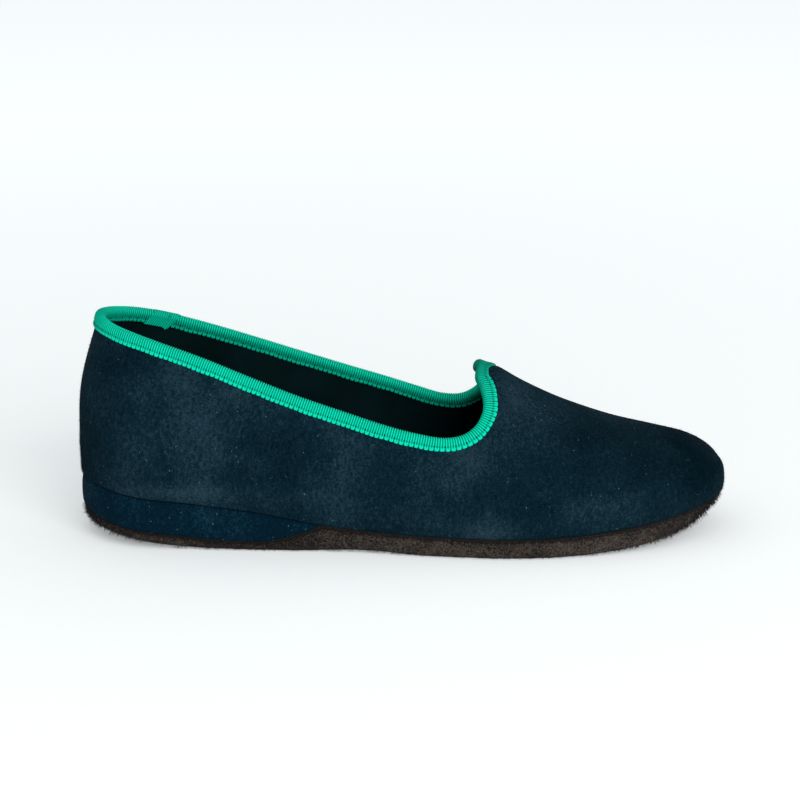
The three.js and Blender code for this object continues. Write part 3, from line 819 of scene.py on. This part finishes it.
def sewing_thread(name, colour, spacing):
    """Spun polyester sewing thread: its twisted ply shows as fine bands, and it hardly shines."""
    surface = {"Roughness": 0.7, "Specular IOR Level": 0.05}
    material, tree, shader, where = new_material(name, **surface)
    ply = add(tree, "ShaderNodeTexNoise", {"Vector": where, "Scale": 1 / spacing, "Detail": 2.0})
    stops = ((0.3, [0.7 * c for c in colour]), (0.7, colour))
    shade = add(tree, "ShaderNodeValToRGB", {"Fac": ply.outputs["Fac"]}, stops).outputs["Color"]
    tree.links.new(shade, shader.inputs["Base Color"])
    return material


def nap_and_light_map(last, points):
    """How much lighter or darker the suede is at each point, from the table of patches: brushed nap,
    with painted highlight by the peak and painted shade over the toe.
    """
    s = last.s
    place = points - last.origin
    total = rough(points, 34 * MM, 0.3, 4.0)
    for x, z, along, up, lighter in NAP_AND_LIGHT_PATCHES:
        dx = (place[..., 0] - x * s.length) / (along * s.length)
        dz = (place[..., 2] - z * s.peak_height) / (up * s.length)
        total = total + lighter * np.exp(-(dx**2) - dz**2)
    return total


def worn_form(last, points):
    """How far the soft suede stands in or out at each point: creases, a back seam and slack."""
    s = last.s
    place = points - last.origin
    x, y, z = place[..., 0], place[..., 1], place[..., 2]
    total = rough(points, 46 * MM, 0.55 * MM, 1.0) + rough(points, 17 * MM, 0.22 * MM, 2.0)
    for x0, z0, x1, z1, width, depth in CREASES:
        a = np.array([x0 * s.length, z0 * s.peak_height])
        b = np.array([x1 * s.length, z1 * s.peak_height])
        here = np.stack([x, z], axis=-1)
        share = np.clip(dots(here - a, b - a) / np.dot(b - a, b - a), 0, 1)
        away = np.linalg.norm(here - (a + share[..., None] * (b - a)), axis=-1)
        fade = np.sin(np.pi * np.clip(0.15 + 0.7 * share, 0, 1))
        total = total - depth * MM * fade * bell(away, width * MM)
    seam = bell(y, 0.5 * MM) - 0.45 * bell(np.abs(y) - 1.7 * MM, 0.8 * MM)
    return total - BACK_SEAM * bell(x, 9 * MM) * seam


def sole_shade_map(last, points):
    """How much darker the sole is painted at each point: painted shade at the join and near the floor,
    and darker at the waist.
    """
    x = points[:, 0] - last.origin[0]
    join = bell(last.sole_top(x) - points[:, 2], 0.8 * MM)
    floor = bell(points[:, 2] - last.tread_height(x), 0.9 * MM)
    waist = bell(x / last.s.length - 0.3, 0.13)
    return join + 0.4 * floor + 0.45 * waist


def shell_edges(last):
    """The turns of the upper's lower edge, how near each is to the vamp, and the around and tilt of
    the upper edge. They run along the outer side to the toe and back along the inner side."""
    sides = {}
    for outward in (-1, 1):
        around, tilt = last.collar_half(outward, 600)
        ridge = np.linspace(abs(around[-1]), math.pi, 400)[1:]
        top = np.stack(
            [
                np.concatenate([around, -outward * ridge]),
                np.concatenate([tilt, np.full(len(ridge), QUARTER)]),
            ]
        )
        place = evenly(last.point(*top), 171)
        index = np.arange(top.shape[1])
        top = np.stack([np.interp(place, index, row) for row in top])
        top[1][np.abs(top[1] - QUARTER) < 1e-3] = QUARTER
        place = np.linspace(0, 1, 171)
        vamp = bell(place - 0.64, 0.12)
        turns = last.seam_turns(1000)
        low = -outward * np.interp(place + 0.06 * vamp, np.linspace(0, 1, 1000), turns)
        sides[outward] = np.vstack([low, vamp, top])
    low, vamp, *top = np.hstack([sides[-1], sides[1][:, -2::-1]])
    return low, vamp, top


def make_upper(last, colours):
    """The suede shell, from the seam up to the collar's edge and, on the vamp, to the ridge."""
    s = last.s
    low, vamp, top = shell_edges(last)
    rows = np.linspace(0, 1, 85)[:, None]
    bend = rows ** (1 + 1.2 * vamp)
    around = low * (1 - bend) + top[0] * bend
    tilt = -TUCK_ANGLE * (1 - rows) + top[1] * rows
    points = last.point(around, tilt)
    normals = last.normal(around, tilt)
    edge = np.minimum(1, np.minimum(rows, 1 - rows) / 0.12)
    on_ridge = top[1] >= QUARTER - 1e-9
    edge = np.where(on_ridge[None, :] & (rows > 0.5), 1, edge)
    toe = TOE_FRONT * bell(last.origin[0] + s.length - points[..., 0], 14 * MM)
    stands_out = worn_form(last, points) + toe * (1 - normals[..., 2] ** 2)
    moved = points + normals * (stands_out * edge)[..., None]
    moved[-1, on_ridge, 1] = points[-1, on_ridge, 1]
    # The lowest rows are drawn in, as the seam pulls them
    moved[0] -= normals[0] * 0.8 * MM
    moved[1] -= normals[1] * 0.25 * MM
    moved[0, :, 2] -= 0.3 * MM
    piece = grid("slipper_upper", moved)
    smooth_ridge(last, piece.data)
    # Patches of brushed nap, with painted highlight by the peak and painted shade over the toe
    store(piece.data, "brushed", lambda p: nap_and_light_map(last, p))
    solid = piece.modifiers.new("wall", "SOLIDIFY")
    solid.thickness = s.wall
    solid.offset = -1
    solid.material_offset = 1
    solid.material_offset_rim = 1
    shades = (colours.suede_dark, colours.suede, colours.suede_light)
    navy = suede("Navy split suede", *shades, colours.lint, 0.3)
    lining = lining_leather("Black lining leather", colours.lining)
    finish_piece(piece, [navy, lining], ["upper"])
    make_fuzz(last, navy)


def smooth_ridge(last, mesh):
    """Rounds the vamp along its ridge, where the two sides of the last meet."""
    bm = bmesh.new()
    bm.from_mesh(mesh)
    middle = last.origin[1]
    near = [
        v
        for v in bm.verts
        if abs(v.co.y - middle) < 6 * MM and v.normal.z > 0.55 and not v.is_boundary
    ]
    axes = {"use_axis_x": True, "use_axis_y": True, "use_axis_z": True}
    for _ in range(6):
        bmesh.ops.smooth_vert(bm, verts=near, factor=0.5, **axes)
    bm.to_mesh(mesh)
    bm.free()


def store(mesh, name, value_at):
    """Keeps a value for each of a mesh's points as an attribute that its material reads."""
    points = np.empty(len(mesh.vertices) * 3)
    mesh.vertices.foreach_get("co", points)
    values = value_at(points.reshape(-1, 3))
    mesh.attributes.new(name, "FLOAT", "POINT").data.foreach_set("value", values.astype(np.float32))


def ribbon_fit(sizes):
    """How far the ribbon's face stands off the wall, and how long its two legs are."""
    out = sizes.gap + sizes.ribbon
    return out, sizes.binding_width - out


def ribbon_face(sizes):
    """Rows of the ribbon's face from its lower edge to its fold: the depth down the wall, the height
    off it as a share of the ribbon's own, and how strongly the cords, the looped edge and the sewn
    groove show there."""
    leg = ribbon_fit(sizes)[1]
    return [
        (leg + 0.1 * MM, 0.35, 0.1, 1.0, 0.0),
        (leg - 0.05 * MM, 0.75, 0.2, 1.0, 0.0),
        (leg - 0.5 * MM, 0.98, 0.35, 0.9, 0.0),
        (leg - 1.0 * MM, 0.95, 0.45, 0.6, 0.0),
        (leg - 1.35 * MM, 0.82, 0.7, 0.2, 0.6),
        (leg - 1.75 * MM, 0.88, 1.0, 0.0, 0.6),
        (leg - 2.2 * MM, 1.0, 1.0, 0.0, 0.0),
        (leg - 3.2 * MM, 1.03, 1.0, 0.0, 0.0),
    ]


def make_ribbon(last, material):
    """The grosgrain binding, whose cords, looped edge and sewn groove are real relief. At the peak it
    is stretched flat and mitred. Its green is painted darker at the peak, at the heel and on the inside
    leg, as painted shade."""
    s = last.s
    ribs = rib_count(last)
    edge = last.collar(6 * ribs)
    place = np.arange(6 * ribs) / 6
    cord = 0.5 - 0.5 * np.cos(2 * math.pi * place)
    loop = np.minimum(1, 1.6 * np.abs(np.sin(math.pi * place / 2)))
    drift = np.array([noise.noise(Vector((p / 7, 0.3, 1.7))) for p in place])
    drift *= 0.3 * MM * np.minimum(1, np.minimum(place, ribs - place) / 20)
    from_peak = (place - ribs / 2) * s.rib
    from_ends = np.minimum(place, ribs - place) * s.rib
    peak, mitre, stretched = (bell(from_peak, reach * MM) for reach in (8, 2.2, 16))
    # Painted shade: the ribbon's green is darkened at the peak and at the heel
    peak_and_heel_shade = (1 - 0.75 * stretched) * (1 - 0.6 * bell(from_ends, 16 * MM))
    cord_relief = (cord - 0.5) * (1 - 0.6 * stretched) * CORD
    loop_relief = (loop - 0.8) * LOOP
    width = 1 - 0.24 * peak + 0.7 * mitre
    out, leg = ribbon_fit(s)
    middle, half = -s.wall / 2, out + s.wall / 2
    rows, painted_shade = [], []

    def add_row(depth, height, facing, cords, loops, groove):
        """Adds a row down one of the wall's faces, or over the fold where the depth isn't positive."""
        proud = cords * cord_relief + loops * loop_relief - groove * GROOVE
        if depth > 0:
            flat = 1 - (0.6 * peak + 0.15 * mitre) * min(1, depth / leg)
            reach = (depth + loops * loop_relief * flat + drift) * width
            base = -s.wall if facing < 0 else 0
            rows.append(last.on_collar(edge, reach, base + facing * (height * out + proud) * flat))
        else:
            sideways = (height - middle) / half
            upwards = math.sqrt(max(0, 1 - sideways**2))
            rows.append(last.on_collar(edge, depth - upwards * proud, height + sideways * proud))
        # Painted shade in the colour: deeper between the cords, in the looped edge's gaps and in the
        # sewn groove
        height = cords * cord + (1 - cords) * (loops * loop + (1 - loops) * 0.6) - 0.3 * groove
        # and painted darker at the peak, at the heel and on the inside leg, as painted shade
        painted_shade.append(height * peak_and_heel_shade * (0.62 if facing < 0 else 1))

    face = ribbon_face(s)
    for depth, height, *marks in face:
        add_row(depth, height, 1, *marks)
    for angle in np.linspace(0, math.pi, 7):
        add_row(-out * math.sin(angle), middle + half * math.cos(angle), 0, 1.0, 0.0, 0.0)
    for depth, height, *marks in face[::-1]:
        add_row(depth, height, -1, *marks)
    for facing, depth, height in ((-1, 0.9, 0.1), (-1, 0.4, 0.1), (1, 0.4, 0.1), (1, 0.9, 0.1)):
        add_row(depth * leg, height, facing, 0.0, 0.0, 0.0)

    points = np.array([*rows, rows[0]])
    painted_shade = np.array([*painted_shade, painted_shade[0]])
    points = np.concatenate([points, points[:, :1]], axis=1)
    painted_shade = np.concatenate([painted_shade, painted_shade[:, :1]], axis=1)
    piece = grid("collar_ribbon", points, cord=painted_shade)
    finish_piece(piece, [material], ["collar_binding"])


def collar_length(last):
    """Length of the whole edge of the collar."""
    points = last.collar(400)["point"]
    return float(np.sum(np.linalg.norm(points - np.roll(points, 1, axis=0), axis=1)))


def rib_count(last):
    """How many ribs the ribbon has: a multiple of the four that one stitch spans."""
    return 4 * round(collar_length(last) / last.s.rib / 4)


def make_stitches(last, colours):
    """The seam through both faces of the ribbon: sunk threads, and a needle hole between each two."""
    s = last.s
    count = round(rib_count(last) * s.rib / s.stitch)
    edge = last.collar(2 * count)
    out_of_wall, leg = ribbon_fit(s)
    shapes = []
    for height, facing in ((out_of_wall, 1), (-s.wall - out_of_wall, -1)):
        places = last.on_collar(edge, np.full(2 * count, leg - 1.55 * MM), height - facing * 0.3 * MM)
        for i in range(2 * count):
            from_peak = abs(i - count) * s.stitch / 2
            if from_peak < 9 * MM:
                continue
            along = Vector(edge["along"][i])
            out = Vector(edge["out"][i]) * facing
            turn = Matrix((along, out.cross(along), out)).transposed().to_4x4()
            if i % 2 == 0:
                size, steps, slot = (0.5 * s.stitch - 0.5 * MM, 0.17 * MM, 0.22 * MM), (8, 6), 0
            else:
                # A needle hole: a flattened dark sphere of painted shade, for the hole's shadow
                size, steps, slot = (0.4 * MM, 0.38 * MM, 0.26 * MM), (6, 4), 1
            place = Matrix.Translation(places[i]) @ turn @ Matrix.Diagonal((*size, 1))
            shapes.append((slot, {"u_segments": steps[0], "v_segments": steps[1], "matrix": place}))
    piece = gather("ribbon_stitches", partial(bmesh.ops.create_uvsphere, radius=1), shapes)
    thread = sewing_thread("Green sewing thread", colours.thread, 0.4 * MM)
    hole = sewing_thread("Shadowed needle hole", [0.15 * c for c in colours.thread], 0.4 * MM)
    finish_piece(piece, [thread, hole])


def slab(last, name, turns, rows):
    """A closed flat body on the seam's outline. Each row gives the share from the body's middle line
    to its edge, the margin past the seam, and the height as a function of x."""
    points = []
    for share, margin, height in rows:
        outline = last.seam(turns, 0.0)
        x = outline[:, 0] - last.origin[0]
        outline = last.seam(turns, margin(x))
        spine = (outline + outline[::-1]) / 2
        row = spine + (outline - spine) * share
        row[:, 2] = height(row[:, 0] - last.origin[0])
        points.append(row)
    return grid(name, np.array(points))


def both_sides(turns):
    """Turns from the heel along the outer side and back along the inner side."""
    return np.concatenate([turns, -turns[::-1]])


def make_wedge(last, colours):
    """The heel wedge in its own suede cover, which rolls in at the seams above and below."""
    s = last.s
    back = float(last.back_line(last.seam_height(0)))
    front = math.acos(1 - 2 * (s.wedge_reach - back) / (s.length - back))
    turns = both_sides(last.seam_turns(90, front))

    def height(up):
        def at(x):
            top = last.seam_height(x) - 0.05 * MM
            low = last.wedge_underside(x) - 0.2 * MM
            return low + (top - low) * up

        return at

    def swell(amount):
        return lambda x: amount * MM * np.minimum(1, 0.3 + (s.wedge_reach - x) / (30 * MM))

    spans = (0.0, 0.3, 0.6, 0.85)
    sides = (
        (0.0, -0.8),
        (0.04, -0.1),
        (0.12, 0.2),
        (0.3, 0.4),
        (0.5, 0.42),
        (0.7, 0.3),
        (0.86, 0.05),
        (0.95, -0.4),
        (1.0, -1.1),
    )
    rows = [(share, swell(-0.6), height(0)) for share in spans]
    rows += [(1.0, swell(margin), height(up)) for up, margin in sides]
    rows += [(share, swell(-0.5), height(1)) for share in spans[::-1]]
    piece = slab(last, "wedge_cover", turns, rows)
    store(piece.data, "brushed", lambda p: rough(p, 24 * MM, 0.8, 6.0))
    shades = (colours.wedge_dark, colours.wedge, colours.wedge_light)
    cover = suede("Navy wedge suede", *shades, colours.lint, 0.15)
    finish_piece(piece, [cover], ["heel_wedge"])


def sole_rows(last):
    """Rows of the sole: its underside, rolled edge, side and top."""
    s = last.s

    def height(down):
        def at(x):
            top = last.sole_top(x) + 0.2 * MM
            return top + (last.tread_height(x) - top) * down

        return at

    def margin(under, proud=0.0):
        return lambda x: s.sole_lip * last.level("lip", x) - s.sole_round * under + proud * MM

    sides = (
        (1.0, 1.0, 0.0),
        (0.985, 0.72, 0.0),
        (0.95, 0.45, 0.0),
        (0.9, 0.25, 0.0),
        (0.83, 0.1, 0.0),
        (0.74, 0.02, 0.0),
        (0.64, 0.0, 0.05),
        (0.54, 0.0, 0.1),
        (0.44, 0.0, 0.1),
        (0.34, 0.0, 0.05),
        (0.24, 0.0, 0.0),
        (0.14, 0.02, 0.0),
        (0.06, 0.12, 0.0),
        (0.0, 0.35, 0.0),
    )
    spans = (0.0, 0.2, 0.4, 0.6, 0.78, 0.9, 0.96)
    rows = [(share, margin(1.0), height(1.0)) for share in spans]
    rows += [(1.0, margin(under, proud), height(down)) for down, under, proud in sides]
    rows += [(share, margin(0.35), height(0.0)) for share in spans[::-1]]
    return rows


def make_sole(last, material):
    """The rough suede sole, matted along its edge, with loose fibres standing out of it."""
    piece = slab(last, "suede_sole", both_sides(last.seam_turns(330)), sole_rows(last))
    mesh = piece.data
    points = np.array([v.co for v in mesh.vertices])
    facing = np.array([v.normal for v in mesh.vertices])
    matted = rough(points, 1.3 * MM, 0.55 * MM, 3.0) + rough(points, 5 * MM, 0.3 * MM, 5.0)
    sideways = np.linalg.norm(facing[:, :2], axis=1)
    points += facing * (matted * sideways**2)[:, None]
    points[:, 2] = np.maximum(points[:, 2], 0)
    mesh.vertices.foreach_set("co", points.reshape(-1))
    # Painted shade at the join and near the floor, and darker at the waist
    store(mesh, "painted_sole_shade", lambda p: sole_shade_map(last, p))
    finish_piece(piece, [material], ["outsole"])


def hair(middle, way, root, tip, length):
    """Settings for one tapering hair."""
    place = Matrix.Translation(middle) @ way.to_track_quat("Z", "Y").to_matrix().to_4x4()
    return 0, {"radius1": root, "radius2": tip, "depth": length, "matrix": place}


def loose_fibres(name, chance, spots, count, reach, thick):
    """Short hairs that stand out of a nap. Each spot is a vertex, a weight and how much longer its
    hairs grow."""
    shapes = []
    for vert, _, longer in chance.choices(spots, weights=[weight for _, weight, _ in spots], k=count):
        loose = Vector([chance.uniform(-1, 1) for _ in range(3)])
        way = (vert.normal + 0.8 * loose + Vector((0, 0, -0.3))).normalized()
        length = chance.uniform(0.5, 1) * reach * (1 + longer * chance.random() ** 2)
        if vert.co.z + way.z * length < 0.05 * MM:
            way.z = abs(way.z) * 0.2
            way.normalize()
        root = thick * chance.uniform(0.7, 1.3)
        shapes.append(hair(vert.co + way * length * 0.35, way, root, 0.4 * root, length * 1.3))
    piece = gather(name, partial(bmesh.ops.create_cone, segments=3, cap_ends=True), shapes)
    for vert in piece.data.vertices:
        vert.co.z = max(vert.co.z, 0)
    return piece


def make_fibres(last, material):
    """Loose fibres of the sole's edge. They are thickest at the back of the heel and under the toe."""
    s = last.s
    spots = []
    for vert in bpy.data.objects["suede_sole"].data.vertices:
        x = vert.co.x - last.origin[0]
        back, toe = 1.3 - x / (24 * MM), (x - 0.84 * s.length) / (0.1 * s.length)
        end = min(1, max(0, back) + max(0, toe))
        if vert.normal.z < 0.5 and vert.normal.xy.length > 0.25:
            spots.append((vert, 0.6 + 1.4 * end, 0.3 + 1.7 * end))
    piece = loose_fibres("sole_fibres", random.Random(11), spots, FIBRES, 1.1 * MM, 0.14 * MM)
    # The loose fibres take an even share of the sole's painted shade
    store(piece.data, "painted_sole_shade", lambda p: np.full(len(p), 0.35))
    finish_piece(piece, [material])


def make_fuzz(last, material):
    """The nap standing up where the suede turns away from the eye, at the back and over the toe."""
    spots = []
    for vert in bpy.data.objects["slipper_upper"].data.vertices:
        x = vert.co.x - last.origin[0]
        ends = bell(x, 9 * MM) + 0.25 * bell(last.s.length - x, 25 * MM)
        if ends > 0.02 and vert.co.z < last.s.back_height - 8 * MM:
            spots.append((vert, ends, 0.8))
    piece = loose_fibres("suede_fuzz", random.Random(5), spots, FUZZ, 0.6 * MM, 0.05 * MM)
    finish_piece(piece, [material])


def make_insole(last, colours):
    """The foam insole under its leather cover, dished where the foot has pressed it."""
    s = last.s
    turns = both_sides(last.seam_turns(120))
    inset = -(s.wall + 2 * s.gap)

    def height(up):
        return lambda x: last.seam_height(x) + s.insole * up

    rows = [(share, lambda x: inset - 0.8 * MM, height(0)) for share in (0, 0.5, 0.9)]
    for up, margin in ((0.0, -0.8), (0.2, -0.2), (0.5, 0.0), (0.8, -0.15), (0.93, -0.7), (1.0, -1.6)):
        rows.append((1.0, lambda x, m=margin: inset + m * MM, height(up)))
    for share in (0.93, 0.8, 0.6, 0.4, 0.2, 0):
        rows.append((share, lambda x: inset - 1.6 * MM, height(0.8 + 0.2 * share**2)))
    piece = slab(last, "padded_insole", turns, rows)
    cover = lining_leather("Insole leather", colours.insole)
    finish_piece(piece, [cover], ["insole"])


def make_lap(last, colours, material):
    """The ribbon's end, cut at a slant, turned under and lapped over its start on the inner side."""
    s = last.s
    columns = 4 * round(LAP_LENGTH / s.rib) + 1
    places = 2400
    edge = last.collar(places)
    step = collar_length(last) / places
    start = places - round(LAP_FROM_HEEL / step)
    out, leg = ribbon_fit(s)
    middle, half = -s.wall / 2, out + s.wall / 2
    along = np.linspace(0, 1, columns)
    end = np.minimum(1, 14 * np.minimum(along, 1 - along))
    fold = bell(along - 0.12, 0.08)
    rows, painted_shade = [], []
    for share in np.linspace(0, 1, 25):
        place = along * LAP_LENGTH - share * LAP_SLANT + 2 * MM
        index = np.clip(start + place / step, 0, places - 1)
        base = {
            key: np.apply_along_axis(lambda v: np.interp(index, np.arange(places), v), 0, value)
            for key, value in edge.items()
        }
        cord = 0.5 - 0.5 * np.cos(2 * math.pi * (place / s.rib + 2.5 * share))
        proud = (0.1 + 0.2 * end + 0.36 * (cord - 0.5)) * MM + 0.3 * MM * fold
        if share < 0.7:
            down = leg * (1 - share / 0.7) + 0.3 * MM * (1 - share)
            down = down + 0.7 * MM * (1 - share) * fold
            rows.append(last.on_collar(base, np.maximum(down, 0.01 * MM), middle - half - proud))
        else:
            angle = math.pi * (1 - 0.75 * (share - 0.7) / 0.3)
            proud = proud * np.sin(math.pi * min(1, (1 - share) / 0.2) / 2)
            depth = -out * math.sin(angle) - proud * math.sin(angle)
            rows.append(last.on_collar(base, depth, middle + (half + proud) * math.cos(angle)))
        # Painted shade: deeper green between the lap's cords, and deeper overall, as on the inside leg
        painted_shade.append(0.55 * cord + 0.1)
    piece = grid("ribbon_lap", np.array(rows), cord=np.array(painted_shade))
    solid = piece.modifiers.new("ribbon", "SOLIDIFY")
    solid.thickness = 0.3 * MM
    solid.offset = 0
    finish_piece(piece, [material])

    make_tuft(Vector(rows[18][columns // 3]), colours)


def make_tuft(root, colours):
    """The tuft of thread that is left above the ribbon's lapped end."""
    chance = random.Random(3)
    shapes = []
    for _ in range(14):
        way = Vector((chance.uniform(-1, 1), chance.uniform(-0.6, 0.6), chance.uniform(0.1, 1)))
        way.normalize()
        length = chance.uniform(0.6, 1.6) * MM
        shapes.append(hair(root + way * length * 0.45, way, 0.09 * MM, 0.05 * MM, length))
    tuft = gather("thread_tuft", partial(bmesh.ops.create_cone, segments=5, cap_ends=True), shapes)
    thread = sewing_thread("Green tuft thread", colours.thread, 0.4 * MM)
    finish_piece(tuft, [thread])


def add_light(name, place, size, power):
    """A square soft light that faces the slipper."""
    data = bpy.data.lights.new(name, "AREA")
    data.size = size
    data.energy = power
    light = bpy.data.objects.new(name, data)
    light.location = place
    towards = Vector((0, 0, 0.03)) - Vector(place)
    light.rotation_euler = towards.to_track_quat("-Z", "Y").to_euler()
    bpy.context.scene.collection.objects.link(light)


def make_stage(last, colours):
    """A pale floor lit from below, with painted shadow where its glow dims near the slipper, soft light
    and the camera at the photograph's angle.
    """
    bm = bmesh.new()
    bmesh.ops.create_grid(bm, x_segments=1, y_segments=1, size=6)
    mesh = bpy.data.meshes.new("floor")
    bm.to_mesh(mesh)
    bm.free()
    floor = add_piece("floor", mesh)
    # Cast acrylic, lit from under its matt face: it drowns most of the shadow. Its glow is painted
    # dimmer near the slipper, as painted shadow round it
    surface = {"Roughness": 0.9, "Specular IOR Level": 0.1, "Emission Strength": 0.46}
    material, tree, shader, where = new_material("White acrylic table", **surface)
    away = add(tree, "ShaderNodeVectorMath", {0: where}, operation="LENGTH").outputs["Value"]
    stops = ((0.15, (0.54, 0.57, 0.58)), (1.0, (0.93, 0.98, 1.0)))
    glow_with_painted_shadow = add(tree, "ShaderNodeValToRGB", {"Fac": away}, stops).outputs["Color"]
    tree.links.new(glow_with_painted_shadow, shader.inputs["Emission Color"])
    tooth = add(tree, "ShaderNodeTexNoise", {"Vector": where, "Scale": 1 / (3 * MM), "Detail": 4.0})
    stops = ((0.3, [0.97 * c for c in colours.floor]), (0.7, colours.floor))
    shade = add(tree, "ShaderNodeValToRGB", {"Fac": tooth.outputs["Fac"]}, stops).outputs["Color"]
    tree.links.new(shade, shader.inputs["Base Color"])
    mesh.materials.append(material)
    floor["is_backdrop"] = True

    scene = bpy.context.scene
    scene.view_settings.view_transform = "Standard"
    scene.view_settings.look = "None"
    world = bpy.data.worlds.new("soft box")
    world.use_nodes = True
    sky = world.node_tree.nodes["Background"].inputs
    sky["Color"].default_value = (0.93, 0.98, 1.0, 1)
    sky["Strength"].default_value = 0.4
    scene.world = world
    add_light("top", (-0.4, -0.6, 3.0), 6, 30)
    add_light("front", (0.7, -1.7, 0.8), 1.4, 26)

    data = bpy.data.cameras.new("camera")
    data.sensor_width = 36
    data.lens = CAMERA_LENS
    camera = bpy.data.objects.new("camera", data)
    away = Vector((0, -math.cos(CAMERA_TILT), math.sin(CAMERA_TILT)))
    camera.location = Vector(last.origin) + Vector(CAMERA_AIM) + CAMERA_DISTANCE * away
    camera.rotation_euler = (QUARTER - CAMERA_TILT, 0, 0)
    scene.collection.objects.link(camera)
    scene.camera = camera


class PieceOperator:
    """What every operator of this file shares: it makes its pieces from the scene's own sizes."""

    bl_options = {"REGISTER", "UNDO"}

    def execute(self, context):
        self.make(Last(context.scene.slipper_sizes), context.scene.slipper_colours)
        return {"FINISHED"}


class SLIPPER_OT_upper(PieceOperator, bpy.types.Operator):
    """Adds the suede upper with its lining"""

    bl_idname = "slipper.upper"
    bl_label = "Upper"

    def make(self, last, colours):
        make_upper(last, colours)


class SLIPPER_OT_binding(PieceOperator, bpy.types.Operator):
    """Adds the ribbon binding, its lapped end and its stitches"""

    bl_idname = "slipper.binding"
    bl_label = "Binding"

    def make(self, last, colours):
        material = grosgrain(colours)
        make_ribbon(last, material)
        make_lap(last, colours, material)
        make_stitches(last, colours)


class SLIPPER_OT_wedge(PieceOperator, bpy.types.Operator):
    """Adds the covered heel wedge"""

    bl_idname = "slipper.wedge"
    bl_label = "Wedge"

    def make(self, last, colours):
        make_wedge(last, colours)


class SLIPPER_OT_sole(PieceOperator, bpy.types.Operator):
    """Adds the sole and its loose fibres"""

    bl_idname = "slipper.sole"
    bl_label = "Sole"

    def make(self, last, colours):
        material = rough_suede(colours)
        make_sole(last, material)
        make_fibres(last, material)


class SLIPPER_OT_insole(PieceOperator, bpy.types.Operator):
    """Adds the padded insole"""

    bl_idname = "slipper.insole"
    bl_label = "Insole"

    def make(self, last, colours):
        make_insole(last, colours)


class SLIPPER_OT_stage(PieceOperator, bpy.types.Operator):
    """Adds the floor, the light and the camera"""

    bl_idname = "slipper.stage"
    bl_label = "Stage"

    def make(self, last, colours):
        make_stage(last, colours)


OPERATORS = (
    SLIPPER_OT_upper,
    SLIPPER_OT_binding,
    SLIPPER_OT_wedge,
    SLIPPER_OT_sole,
    SLIPPER_OT_insole,
    SLIPPER_OT_stage,
)


class SLIPPER_PT_panel(bpy.types.Panel):
    """Lists the slipper's sizes, colours and pieces"""

    bl_idname = "SLIPPER_PT_panel"
    bl_label = "Slipper"
    bl_space_type = "VIEW_3D"
    bl_region_type = "UI"
    bl_category = "Slipper"

    def draw(self, context):
        for group in (context.scene.slipper_sizes, context.scene.slipper_colours):
            box = self.layout.box()
            for name in group.__annotations__:
                box.prop(group, name)
        for operator in OPERATORS:
            self.layout.operator(operator.bl_idname)


CLASSES = (SlipperSizes, SlipperColours, *OPERATORS, SLIPPER_PT_panel)


def register():
    for cls in CLASSES:
        bpy.utils.register_class(cls)
    bpy.types.Scene.slipper_sizes = bpy.props.PointerProperty(type=SlipperSizes)
    bpy.types.Scene.slipper_colours = bpy.props.PointerProperty(type=SlipperColours)


def unregister():
    del bpy.types.Scene.slipper_colours
    del bpy.types.Scene.slipper_sizes
    for cls in reversed(CLASSES):
        bpy.utils.unregister_class(cls)


def main():
    register()
    bpy.ops.slipper.upper()
    bpy.ops.slipper.binding()
    bpy.ops.slipper.wedge()
    bpy.ops.slipper.sole()
    bpy.ops.slipper.insole()
    bpy.ops.slipper.stage()
    boxes = {"cad": CAD_BOX, "visual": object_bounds()}
    {name: [list(corner) for corner in box] for name, box in boxes.items()}


if __name__ == "__main__":
    main()
